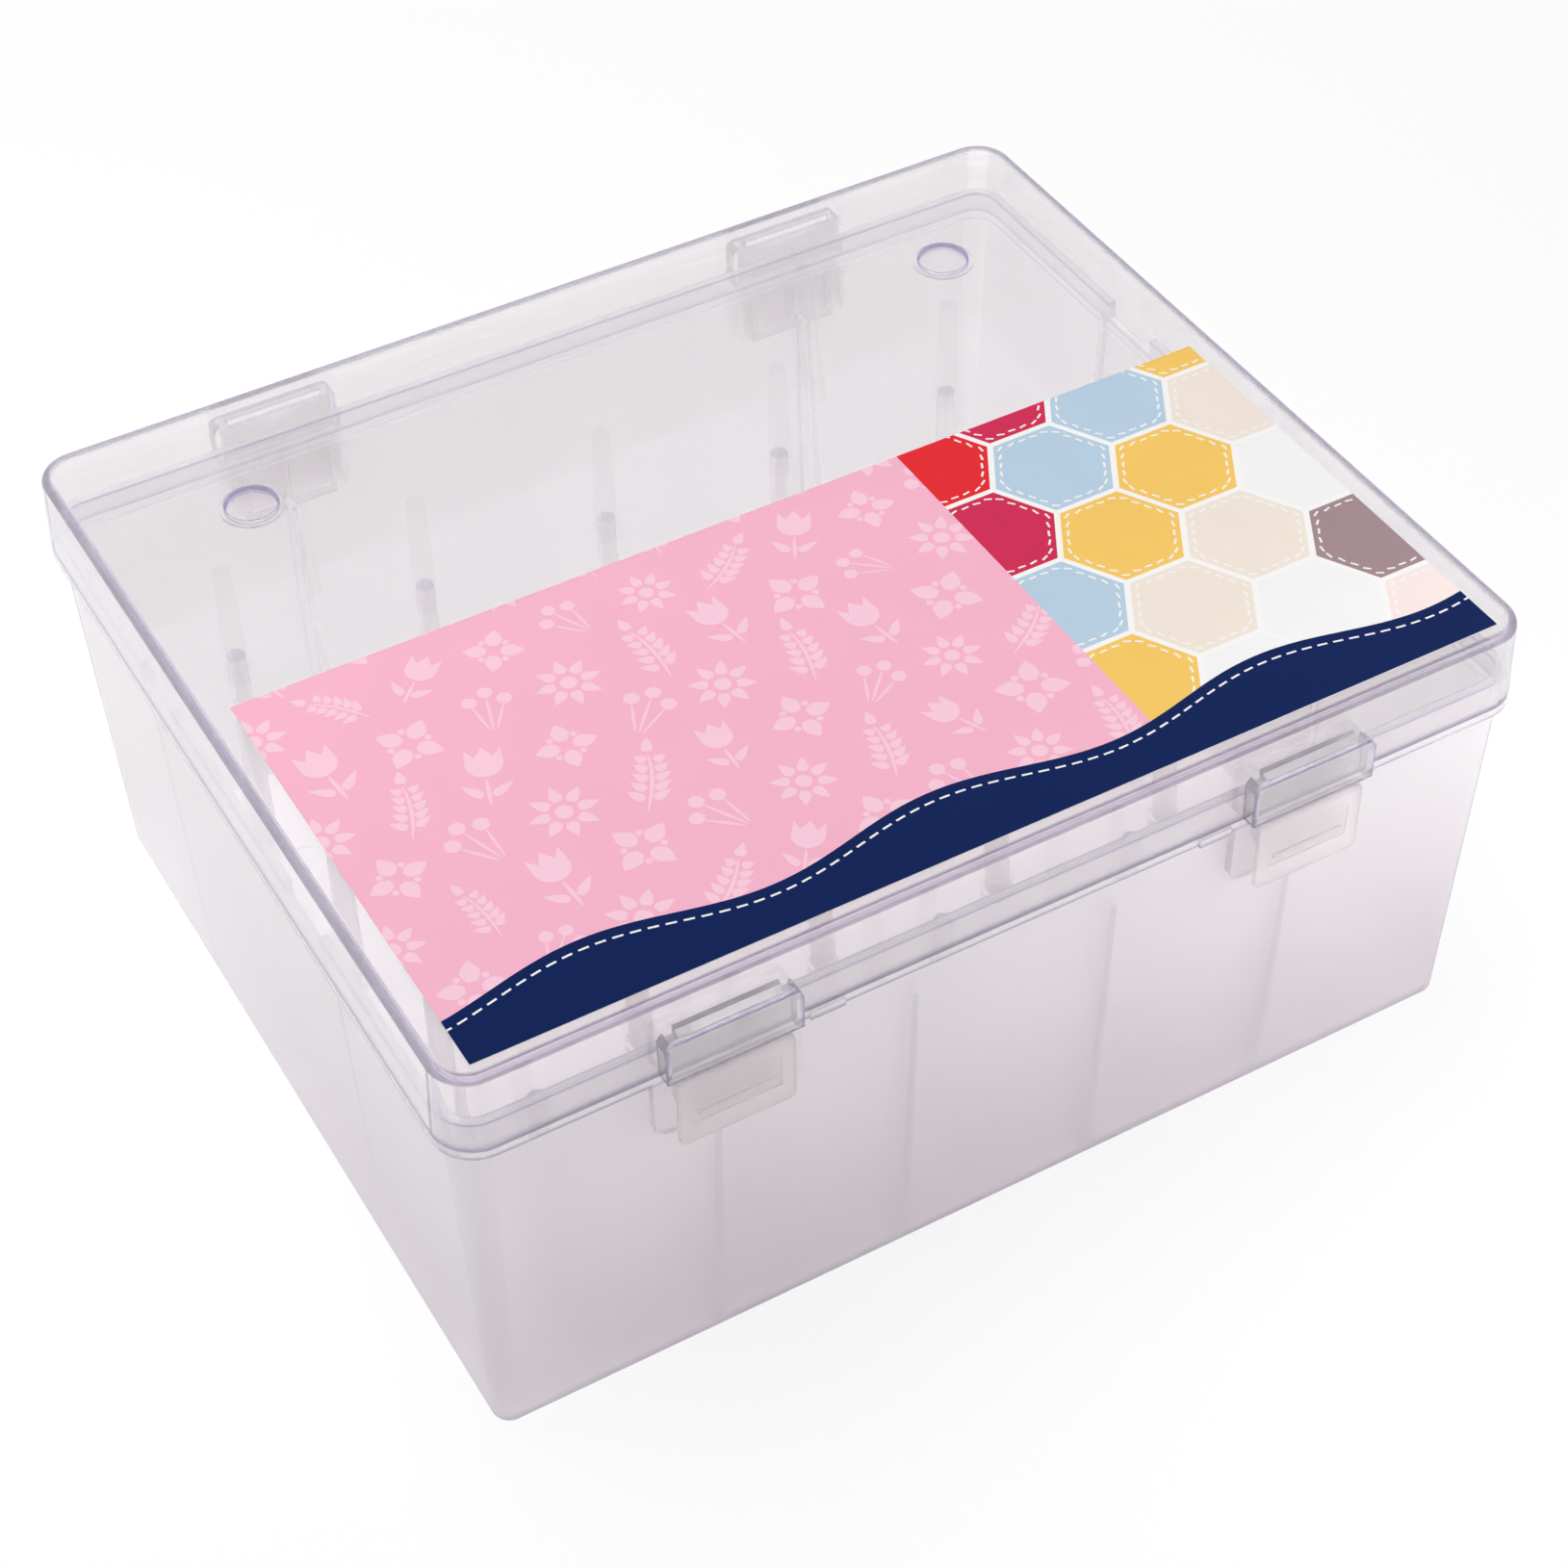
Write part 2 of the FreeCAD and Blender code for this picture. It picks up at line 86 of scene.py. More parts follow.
# Lines painted on the plastic, partly as shade along its edges and at its fins' roots: half of
# their width and their soft border, and their places
FOOT_LINE = (0.6 * MM, 0.3 * MM)
LIP_LINE = (0.38 * MM, 0.1 * MM)
FLANGE_LINE = (0.4 * MM, 0.15 * MM)
RIM_LINE = (0.8 * MM, 0.4 * MM)
RING_LINE = (0.3 * MM, 0.15 * MM)
SKIRT_LINE = (1.4 * MM, 0.2 * MM)
FLAP_LINE = (0.6 * MM, 0.2 * MM)
HOUSING_LINE = (0.6 * MM, 0.2 * MM)
HOUSING_NEAR = (-0.65 * MM, -0.35 * MM)
ROOT_SOFT = 0.3 * MM
FOOT_PLACE = 2.8 * MM
LIP_DROP = 0.45 * MM

CARD_LOW, CARD_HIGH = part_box("label_card")
LID_TOP = CARD_LOW.z
RIM_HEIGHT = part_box("lid_shell")[0].z
PEGS = sorted(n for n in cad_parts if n.startswith("peg_"))
PEG_TOP = max(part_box(n)[1].z for n in PEGS)
INSERTS = sorted(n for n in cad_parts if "_insert_" in n)
FLAPS = sorted(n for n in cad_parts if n.startswith("latch_flap"))
FLAP_LOW, FLAP_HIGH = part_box(FLAPS[0])


# Node graphs

class Term:
    """An output socket whose arithmetic adds Math nodes to its graph."""

    def __init__(self, graph, socket):
        self.graph = graph
        self.socket = socket

    def math(self, operation, *values):
        settings = {"operation": operation}
        return self.graph.add(self.graph.math_node, settings, dict(enumerate(values)))

    def __add__(self, other):
        return self.math("ADD", self, other)

    def __radd__(self, other):
        return self.math("ADD", other, self)

    def __sub__(self, other):
        return self.math("SUBTRACT", self, other)

    def __rsub__(self, other):
        return self.math("SUBTRACT", other, self)

    def __mul__(self, other):
        return self.math("MULTIPLY", self, other)

    def __rmul__(self, other):
        return self.math("MULTIPLY", other, self)

    def __truediv__(self, other):
        return self.math("DIVIDE", self, other)

    def __rtruediv__(self, other):
        return self.math("DIVIDE", other, self)

    def size(self):
        return self.math("ABSOLUTE", self)

    def root(self):
        return self.math("SQRT", self)

    def least(self, other):
        return self.math("MINIMUM", self, other)

    def most(self, other):
        return self.math("MAXIMUM", self, other)

    def modulo(self, other):
        return self.math("FLOORED_MODULO", self, other)

    def floor(self):
        return self.math("FLOOR", self)


class Graph:
    """A node tree, and one way to add any node to it."""
    math_node = "ShaderNodeMath"

    def __init__(self, tree):
        self.tree = tree

    def add(self, kind, settings=None, inputs=None, output=0):
        """Adds a node, sets it up, fills its inputs and returns the chosen output."""
        node = self.tree.nodes.new(kind)
        for key, value in (settings or {}).items():
            if key == "stops":
                ramp = node.color_ramp.elements
                while len(ramp) > len(value):
                    ramp.remove(ramp[-1])
                while len(ramp) < len(value):
                    ramp.new(1.0)
                for stop, (place, colour) in zip(ramp, value):
                    stop.position = place
                    stop.color = colour
            elif key == "interpolation":
                node.color_ramp.interpolation = value
            else:
                setattr(node, key, value)
        for key, value in (inputs or {}).items():
            if isinstance(value, Term):
                self.tree.links.new(value.socket, node.inputs[key])
            else:
                node.inputs[key].default_value = value
        return Term(self, node.outputs[output]) if len(node.outputs) else node

    def mix(self, factor, a, b):
        """Blend of two colours."""
        return self.add("ShaderNodeMix", {"data_type": "RGBA"}, {0: factor, 6: a, 7: b}, 2)

    def ease(self, value, low, high, from_value, to_value):
        """Smooth change from one value to another between two limits."""
        settings = {"interpolation_type": "SMOOTHSTEP"}
        return self.add("ShaderNodeMapRange", settings,
                        {0: value, 1: low, 2: high, 3: from_value, 4: to_value})


class Finish(Graph):
    """A material's graph, with the coordinates and textures that the finishes share."""

    def __init__(self, name):
        self.material = bpy.data.materials.new(name)
        self.material.use_nodes = True
        super().__init__(self.material.node_tree)
        self.tree.nodes.clear()
        self.place = self.add("ShaderNodeTexCoord", output="Object")

    def noise(self, scale, detail=2.0, stretch=None):
        place = self.place
        if stretch:
            place = self.add("ShaderNodeMapping", inputs={"Vector": place, "Scale": stretch})
        return self.add("ShaderNodeTexNoise",
                        inputs={"Vector": place, "Scale": scale, "Detail": detail})

    def bump(self, height, depth):
        return self.add("ShaderNodeBump", inputs={
            "Height": height, "Distance": depth, "Strength": 1.0})

    def axis(self, name):
        return self.add("ShaderNodeSeparateXYZ", inputs={0: self.place}, output=name)

    def surface(self, shader, volume=None):
        inputs = {"Surface": shader}
        if volume:
            inputs["Volume"] = volume
        self.add("ShaderNodeOutputMaterial", inputs=inputs)
        return self.material

    def let_lamps_through(self, shader, share):
        """Keeps a clear piece from casting a solid shadow."""
        shadow = self.add("ShaderNodeLightPath", output="Is Shadow Ray")
        open_way = self.add("ShaderNodeBsdfTransparent", inputs={"Color": share})
        return self.add("ShaderNodeMixShader", inputs={0: shadow, 1: shader, 2: open_way})


class Growth(Graph):
    """A geometry node tree with named inputs, run once on an empty mesh."""
    socket_kinds = {
        int: "NodeSocketInt", bpy.types.Object: "NodeSocketObject",
        bpy.types.Collection: "NodeSocketCollection", bpy.types.Material: "NodeSocketMaterial"}

    def __init__(self, name, inputs):
        tree = bpy.data.node_groups.new(name, "GeometryNodeTree")
        super().__init__(tree)
        tree.interface.new_socket("Geometry", in_out="INPUT", socket_type="NodeSocketGeometry")
        tree.interface.new_socket("Geometry", in_out="OUTPUT", socket_type="NodeSocketGeometry")
        self.values = inputs
        self.sockets = {}
        for label, value in inputs.items():
            kind = self.socket_kinds.get(type(value), "NodeSocketFloat")
            self.sockets[label] = tree.interface.new_socket(label, socket_type=kind)
        self.group_in = tree.nodes.new("NodeGroupInput")

    def given(self, label):
        return Term(self, self.group_in.outputs[label])

    def grow(self, name, geometry, material):
        """Realizes the result under one material and returns it as a plain mesh object."""
        solid = self.add("GeometryNodeRealizeInstances", inputs={0: geometry})
        dressed = self.add("GeometryNodeSetMaterial", inputs={0: solid, "Material": material})
        self.add("NodeGroupOutput", inputs={0: dressed})
        seed = new_piece(name + "_seed", bpy.data.meshes.new(name + "_seed"))
        modifier = seed.modifiers.new("growth", "NODES")
        modifier.node_group = self.tree
        for label, socket in self.sockets.items():
            modifier[socket.identifier] = self.values[label]
        depsgraph = bpy.context.evaluated_depsgraph_get()
        mesh = bpy.data.meshes.new_from_object(seed.evaluated_get(depsgraph))
        seed.modifiers.remove(modifier)
        bpy.data.objects.remove(seed)
        mesh.name = name
        return new_piece(name, mesh)


# Mesh helpers

def new_piece(name, mesh):
    piece = bpy.data.objects.new(name, mesh)
    bpy.context.scene.collection.objects.link(piece)
    bpy.context.view_layer.update()
    return piece


def flat_mesh(name, outlines):
    """Flat faces at height 0 from closed outlines of (x, y) points."""
    bm = bmesh.new()
    for outline in outlines:
        bm.faces.new([bm.verts.new((x, y, 0.0)) for x, y in outline])
    bmesh.ops.recalc_face_normals(bm, faces=bm.faces)
    for face in bm.faces:
        if face.normal.z < 0:
            face.normal_flip()
    mesh = bpy.data.meshes.new(name)
    bm.to_mesh(mesh)
    bm.free()
    return mesh


def trim_flat(mesh, low, high):
    """Cuts flat faces off along the sides of a rectangle."""
    bm = bmesh.new()
    bm.from_mesh(mesh)
    for axis in (0, 1):
        for limit, way in ((low[axis], -1), (high[axis], 1)):
            point = Vector((0, 0, 0))
            normal = Vector((0, 0, 0))
            point[axis] = limit
            normal[axis] = way
            bmesh.ops.bisect_plane(
                bm, geom=list(bm.verts) + list(bm.edges) + list(bm.faces),
                plane_co=point, plane_no=normal, clear_outer=True)
    bm.to_mesh(mesh)
    bm.free()


def layer(piece, bottom, top):
    """Gives flat faces the thickness of a printed layer between two heights."""
    bm = bmesh.new()
    bm.from_mesh(piece.data)
    bmesh.ops.remove_doubles(bm, verts=bm.verts, dist=1e-6)
    for vert in bm.verts:
        vert.co.z = bottom
    for face in bm.faces:
        face.normal_update()
        if face.normal.z > 0:
            face.normal_flip()
    grown = bmesh.ops.extrude_face_region(bm, geom=list(bm.faces), use_keep_orig=True)
    for item in grown["geom"]:
        if isinstance(item, bmesh.types.BMVert):
            item.co.z = top
    bmesh.ops.recalc_face_normals(bm, faces=bm.faces)
    bm.to_mesh(piece.data)
    bm.free()


def dress(names, material):
    """Puts one finish on carried-over nodes."""
    for name in names:
        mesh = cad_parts[name].data
        mesh.materials.clear()
        mesh.materials.append(material)


# Finishes

# Noise scales of the grain, depths of its relief and indices of refraction
FLOW_SCALE, FLOW_STRETCH = 9.0, (0.5, 0.7, 1.6)
GLASS_GRAIN = 1400.0
EDGE_ON = (0.90, 0.985)
MILK_CLOUD, MILK_STRETCH = 60.0, (1.0, 1.0, 2.2)
MILK_GRAIN, MILK_DEPTH, MILK_INDEX = 2600.0, 0.02 * MM, 1.49
INK_TOOTH, INK_DEPTH, INK_INDEX = 3800.0, 0.006 * MM, 1.46
INK_VARNISH, INK_MIRROR = 45.0, 0.1

# Light that one face of a milky or printed piece lets through from the lamps
MILK_LAMPS = (0.7, 0.68, 0.69, 1.0)
INK_LAMPS = (0.72, 0.62, 0.66, 1.0)


def band(finish, distance, half, soft):
    """1 within a distance, falling to 0 across a soft edge."""
    return finish.ease(distance - half, -soft, soft, 1.0, 0.0)


def corner_reach(finish):
    """Distance from the core that the rounded walls keep around."""
    over_x = (finish.axis("X").size() - (TUB_LENGTH / 2 - TUB_CORNER)).most(0.0)
    over_y = (finish.axis("Y").size() - (TUB_DEPTH / 2 - TUB_CORNER)).most(0.0)
    return (over_x * over_x + over_y * over_y).root()


def outer_face(finish):
    """1 on the outside of the tub's drafted walls and under its floor, 0 on the inside."""
    height = finish.axis("Z")
    middle = TUB_CORNER - TUB_OVERHANG - TUB_WALL / 2
    middle = middle - TUB_DRAFT * (RIM_HEIGHT - height) / RIM_HEIGHT
    wall = finish.ease(corner_reach(finish) - middle, -0.2 * MM, 0.2 * MM, 0.0, 1.0)
    under = band(finish, height, FLOOR_MIDDLE, 0.2 * MM)
    return wall.most(under) * band(finish, height, RIM_HEIGHT - SATIN_STOP, 1 * MM)


def housing_edges(finish, low):
    """1 along the edges of the housings that stand over a height: where two faces are near."""
    x, y, z = (finish.axis(name) for name in "XYZ")
    ends = (x.size() - HOUSING_X).size() - HOUSING_HALF
    levels = (z - (low + HOUSING_HIGH / 2)).size() - HOUSING_HIGH / 2
    near = [finish.ease(gap, *HOUSING_NEAR, 0.0, 1.0)
            for gap in (ends, y.size() - HOUSING_OUT, levels)]
    lines = (near[0] * near[1]).most(near[1] * near[2]).most(near[0] * near[2])
    outside = y.size() - TUB_DEPTH / 2
    proud = finish.ease(outside, 0.2 * MM, 0.5 * MM, 0.0, 1.0)
    return lines * proud * band(finish, levels, *HOUSING_LINE)


def tub_colour(finish, look, outside):
    """Tint of the tub, with painted shade low on its outer walls (less at the rear) and at the
    roots of its fins and ribs, and violet edge lines that are partly the plastic's tint seen edge
    on and partly painted shade.
    """
    x, y, z = (finish.axis(name) for name in "XYZ")
    # Painted shade along the roots of the fins and ribs, where they show through the satin walls
    taper = FIN_FOOT / 2 - z * ((FIN_FOOT - FIN_TIP) / 2 / FIN_TOP)
    at_rear = finish.ease(y, -1 * MM, 1 * MM, 0.0, 1.0)
    inner = (x.size() - FIN_INNER).size() + at_rear
    outer = (x.size() - FIN_OUTER).size()
    fins = band(finish, inner.least(outer), taper, ROOT_SOFT) * band(finish, z, FIN_TOP, 1 * MM)
    ribs = band(finish, (y.size() - RIB_PLACE).size(), RIB_TIP / 2, ROOT_SOFT)
    above_floor = finish.ease(z, 3 * MM, 5 * MM, 0.3, 1.0)
    roots = fins.most(ribs) * outside * above_floor
    # Painted shade: the outer walls grow darker towards the floor, standing in for the shade
    # inside the box that shows through them
    depth = finish.ease(z, 0.0, RIM_HEIGHT, look.low_shade_share, 0.0) * outside
    # Less of this painted shade on the rear wall
    depth = depth * finish.ease(y, -TUB_DEPTH / 4, TUB_DEPTH / 2, 1.0, look.rear_shade_share)
    colour = finish.mix(depth, (*look.tub_tint, 1.0), (*look.low_shade_tint, 1.0))
    colour = finish.mix(roots * look.root_shade_share, colour, (*look.shade_line_tint, 1.0))
    # Violet lines painted along the bottom edge, the upstand's top, the flange and the housings:
    # partly the plastic's tint seen edge on, partly painted shade
    foot = band(finish, (z - FOOT_PLACE).size(), *FOOT_LINE) * outside * look.foot_share
    lip = band(finish, (z - (TONGUE_TOP - LIP_DROP)).size(), *LIP_LINE)
    flange = band(finish, (z - FLANGE_LOW - FLANGE_LINE[0]).size(), *FLANGE_LINE)
    far_out = finish.ease(corner_reach(finish) - TUB_CORNER, -1 * MM, -0.6 * MM, 0.0, 1.0)
    lines = (flange * far_out).most(housing_edges(finish, TUB_HOUSING)) * look.line_share
    lines = lines.most(lip).most(foot)
    return finish.mix(lines, colour, (*look.edge_tint, 1.0))


def lid_bend(finish):
    """1 on the rounded edge round the lid's top."""
    below = finish.axis("Z") - LID_TOP
    edge = finish.ease(corner_reach(finish) - TUB_CORNER, -3.6 * MM, -2.4 * MM, 0.0, 1.0)
    return edge * finish.ease(below, -2.4 * MM, -1.4 * MM, 0.0, 1.0)


def lid_colour(finish, look, outside):
    """Tint of the lid, with painted shade on its skirt and violet lines along its rounded edges
    and round its dimples, partly the plastic's tint seen edge on and partly painted shade.
    """
    x, y, z = (finish.axis(name) for name in "XYZ")
    # Violet lines along the rim, the rounded top edge, the housings and round the dimples: partly
    # the plastic's tint, partly painted shade
    rim = band(finish, z - RIM_HEIGHT, *RIM_LINE)
    lines = lid_bend(finish).most(rim) * look.line_share
    lines = lines.most(housing_edges(finish, LID_HOUSING))
    far_x = x.size() - DIMPLE_X
    far_y = y.size() - DIMPLE_Y
    round_off = ((far_x * far_x + far_y * far_y).root() - DIMPLE_RADIUS).size()
    ring = band(finish, round_off, *RING_LINE)
    ring = ring * finish.ease(z - LID_TOP, -4 * MM, -3 * MM, 0.0, 1.0)
    # Painted shade: the lid's skirt is darker than its top
    skirt = band(finish, (corner_reach(finish) - TUB_CORNER).size(), *SKIRT_LINE)
    skirt = skirt * band(finish, z, LID_TOP - 3 * MM, 1 * MM)
    colour = finish.mix(skirt, (*look.lid_tint, 1.0), (*look.skirt_shade_tint, 1.0))
    return finish.mix(lines.most(ring), colour, (*look.edge_tint, 1.0))


def peg_colour(finish, look, outside):
    """Tint of a peg, with violet painted on its top, standing in for the colour that light takes
    on down its length.
    """
    # Painted light: violet on the peg's top for light passing down its length
    cap = finish.ease(finish.axis("Z"), PEG_TOP - 0.9 * MM, PEG_TOP - 0.4 * MM, 0.0, 0.5)
    return finish.mix(cap, (*look.tub_tint, 1.0), (*look.edge_tint, 1.0))


def clear_plastic(name, look, tint, polished, haze, satin=None, bend=None):
    """Clear moulded polystyrene, violet where it is seen edge on or through its length."""
    finish = Finish(name)
    flow = finish.noise(FLOW_SCALE, 3.0, FLOW_STRETCH)
    grain = finish.noise(GLASS_GRAIN, 1.0)
    outside = 0.0
    gloss = polished
    if satin:
        outside = outer_face(finish)
        gloss = polished + (satin - polished) * outside
    glass = finish.add("ShaderNodeBsdfPrincipled", inputs={
        "Base Color": tint(finish, look, outside), "Roughness": gloss * (0.85 + 0.3 * flow),
        "IOR": look.index, "Transmission Weight": 1.0 - haze, "Alpha": look.body,
        "Normal": finish.bump(flow + 0.04 * grain, look.flow_depth)})
    facing = finish.add("ShaderNodeLayerWeight", inputs={"Blend": 0.5}, output="Facing")
    edge = finish.add("ShaderNodeBsdfTransparent", inputs={"Color": (*look.edge_tint, 1.0)})
    shader = finish.add("ShaderNodeMixShader", inputs={
        0: finish.ease(facing, *EDGE_ON, 0.0, look.edge_share), 1: glass, 2: edge})
    # The violet tint on the lid's rounded top edge is partly the plastic's tint seen through it
    # and partly painted shade
    if bend:
        pale = finish.add("ShaderNodeBsdfTransparent", inputs={"Color": (*look.bend_tint, 1.0)})
        shader = finish.add("ShaderNodeMixShader", inputs={
            0: bend(finish) * look.bend_share, 1: shader, 2: pale})
    shader = finish.let_lamps_through(shader, (*look.lamp_share, 1.0))
    body = finish.add("ShaderNodeVolumeAbsorption", inputs={
        "Color": (*look.depth_tint, 1.0), "Density": look.depth_density})
    return finish.surface(shader, body)


def natural_plastic(name, look, body):
    """Milky natural polypropylene with a fine satin grain and slight flow clouds."""
    finish = Finish(name)
    cloud = finish.noise(MILK_CLOUD, 3.0, MILK_STRETCH)
    grain = finish.noise(MILK_GRAIN)
    colour = finish.mix(cloud, (*look.insert_colour, 1.0), (*look.insert_cloud, 1.0))
    # Painted shade along the sides and lower edge of a latch flap
    half = (FLAP_HIGH.x - FLAP_LOW.x) / 2
    from_side = half - (finish.axis("X").size() - HOUSING_X).size()
    from_end = finish.axis("Z") - FLAP_LOW.z
    border = band(finish, from_side.least(from_end), *FLAP_LINE)
    colour = finish.mix(border * look.border_shade_share, colour, (*look.shade_line_tint, 1.0))
    milk = finish.add("ShaderNodeBsdfPrincipled", inputs={
        "Base Color": colour, "Roughness": 0.3 + 0.2 * grain, "IOR": MILK_INDEX,
        "Transmission Weight": look.insert_clear, "Alpha": body,
        "Normal": finish.bump(grain + 0.6 * cloud, MILK_DEPTH)})
    return finish.surface(finish.let_lamps_through(milk, MILK_LAMPS))


def card_ink(name, colour, drift=0.035):
    """Printed and varnished card: ink of one colour with a fine tooth and uneven varnish."""
    finish = Finish(name)
    tooth = finish.noise(INK_TOOTH)
    varnish = finish.noise(INK_VARNISH, 3.0)
    if isinstance(colour, str):
        base = finish.add("ShaderNodeAttribute", {"attribute_name": colour}, output="Color")
    else:
        base = colour
    strength = (1.0 - drift) + 2.0 * drift * (0.4 * tooth + 0.6 * varnish)
    colour = finish.add("ShaderNodeVectorMath", {"operation": "SCALE"},
                        {0: base, "Scale": strength})
    ink = finish.add("ShaderNodeBsdfPrincipled", inputs={
        "Base Color": colour, "Roughness": 0.34 + 0.16 * varnish, "IOR": INK_INDEX,
        "Specular IOR Level": INK_MIRROR, "Normal": finish.bump(tooth, INK_DEPTH)})
    return finish.surface(finish.let_lamps_through(ink, INK_LAMPS))


# Settings

class FinishSettings(PropertyGroup):
    lid_tint: FloatVectorProperty(
        name="Lid tint", description="Colour that light keeps on its way through the lid",
        subtype="COLOR", size=3, min=0.0, max=1.0, default=(0.998, 0.986, 0.989))
    # Painted shade: the colour that darkens the lid's skirt
    skirt_shade_tint: FloatVectorProperty(
        name="Skirt tint",
        description="Colour that light keeps on its way through the lid's skirt",
        subtype="COLOR", size=3, min=0.0, max=1.0, default=(0.94, 0.925, 0.94))
    tub_tint: FloatVectorProperty(
        name="Tub tint", description="Colour that light keeps on its way through the tub",
        subtype="COLOR", size=3, min=0.0, max=1.0, default=(0.998, 0.976, 0.985))
    depth_tint: FloatVectorProperty(
        name="Depth tint", description="Colour of light after a long way inside clear plastic",
        subtype="COLOR", size=3, min=0.0, max=1.0, default=(0.35, 0.30, 0.62))
    depth_density: FloatProperty(
        name="Depth density", description="How fast clear plastic takes on its depth tint",
        default=2.5, min=0.0)
    body: FloatProperty(
        name="Body", description="Share of clear plastic that bends and mirrors light",
        subtype="FACTOR", default=0.84, min=0.0, max=1.0)
    edge_tint: FloatVectorProperty(
        name="Edge tint", description="Colour of clear plastic that is seen edge on",
        subtype="COLOR", size=3, min=0.0, max=1.0, default=(0.32, 0.28, 0.62))
    # Painted shade: tint, strength and rear share of the darkening low on the tub's outer walls
    low_shade_tint: FloatVectorProperty(
        name="Low tint", description="Colour that light keeps low on the tub's thicker walls",
        subtype="COLOR", size=3, min=0.0, max=1.0, default=(0.795, 0.735, 0.79))
    low_shade_share: FloatProperty(
        name="Low share", description="Strength of the low tint at the floor",
        subtype="FACTOR", default=0.95, min=0.0, max=1.0)
    rear_shade_share: FloatProperty(
        name="Rear share", description="What is left of the low tint on the rear wall",
        subtype="FACTOR", default=0.2, min=0.0, max=1.0)
    # Painted shade: colour and strength of the lines at the fins' and ribs' roots; the same colour
    # shades a latch flap's border
    shade_line_tint: FloatVectorProperty(
        name="Root tint", description="Colour of the fins' roots in the tub's walls",
        subtype="COLOR", size=3, min=0.0, max=1.0, default=(0.80, 0.77, 0.83))
    root_shade_share: FloatProperty(
        name="Root share", description="Strength of the fins' roots",
        subtype="FACTOR", default=0.9, min=0.0, max=1.0)
    # Strengths of the violet edge lines, which are partly painted shade
    foot_share: FloatProperty(
        name="Foot share", description="Strength of the violet along the bottom edge",
        subtype="FACTOR", default=0.24, min=0.0, max=1.0)
    line_share: FloatProperty(
        name="Line share", description="Strength of the violet along the edges",
        subtype="FACTOR", default=0.46, min=0.0, max=1.0)
    # Bend tint and share: the violet on the lid's rounded top edge, partly painted shade
    bend_tint: FloatVectorProperty(
        name="Bend tint", description="Colour that light keeps in the lid's rounded top edge",
        subtype="COLOR", size=3, min=0.0, max=1.0, default=(0.72, 0.67, 0.79))
    bend_share: FloatProperty(
        name="Bend share", description="Strength of the bend tint",
        subtype="FACTOR", default=0.7, min=0.0, max=1.0)
    edge_share: FloatProperty(
        name="Edge share", description="Strength of the edge tint",
        subtype="FACTOR", default=0.65, min=0.0, max=1.0)
    lamp_share: FloatVectorProperty(
        name="Lamp share", description="Light that one clear face lets through from the lamps",
        subtype="COLOR", size=3, min=0.0, max=1.0, default=(0.965, 0.95, 0.965))
    index: FloatProperty(
        name="Refraction", description="Index of refraction of clear plastic",
        default=1.57, min=1.0, max=2.0)
    lid_gloss: FloatProperty(
        name="Polish", description="Roughness of polished clear plastic",
        subtype="FACTOR", default=0.02, min=0.0, max=1.0)
    tub_satin: FloatProperty(
        name="Tub satin", description="Roughness of the tub's walls below the rim",
        subtype="FACTOR", default=0.38, min=0.0, max=1.0)
    lid_haze: FloatProperty(
        name="Lid haze", description="Share of light that the lid scatters",
        subtype="FACTOR", default=0.02, min=0.0, max=1.0)
    tub_haze: FloatProperty(
        name="Tub haze", description="Share of light that the tub scatters",
        subtype="FACTOR", default=0.3, min=0.0, max=1.0)
    peg_gloss: FloatProperty(
        name="Peg polish", description="Roughness of the pegs",
        subtype="FACTOR", default=0.12, min=0.0, max=1.0)
    peg_haze: FloatProperty(
        name="Peg haze", description="Share of light that the pegs scatter",
        subtype="FACTOR", default=0.3, min=0.0, max=1.0)
    flow_depth: FloatProperty(
        name="Flow depth", description="Depth of the waves that moulding leaves",
        unit="LENGTH", default=0.012 * MM, min=0.0)
    insert_colour: FloatVectorProperty(
        name="Insert colour", description="Colour of the hinge and latch inserts",
        subtype="COLOR", size=3, min=0.0, max=1.0, default=(0.93, 0.88, 0.893))
    insert_cloud: FloatVectorProperty(
        name="Insert cloud", description="Paler clouds in the inserts",
        subtype="COLOR", size=3, min=0.0, max=1.0, default=(0.955, 0.915, 0.928))
    insert_clear: FloatProperty(
        name="Insert clearness", description="Share of light that passes an insert",
        subtype="FACTOR", default=0.55, min=0.0, max=1.0)
    insert_body: FloatProperty(
        name="Insert body", description="Share of a latch flap that bends and scatters light",
        subtype="FACTOR", default=0.6, min=0.0, max=1.0)
    # Painted shade: strength of the darker border of a latch flap
    border_shade_share: FloatProperty(
        name="Border share", description="Strength of the darker border of a latch flap",
        subtype="FACTOR", default=0.6, min=0.0, max=1.0)
    leaf_body: FloatProperty(
        name="Leaf body", description="The same share of an insert inside its housing",
        subtype="FACTOR", default=0.12, min=0.0, max=1.0)


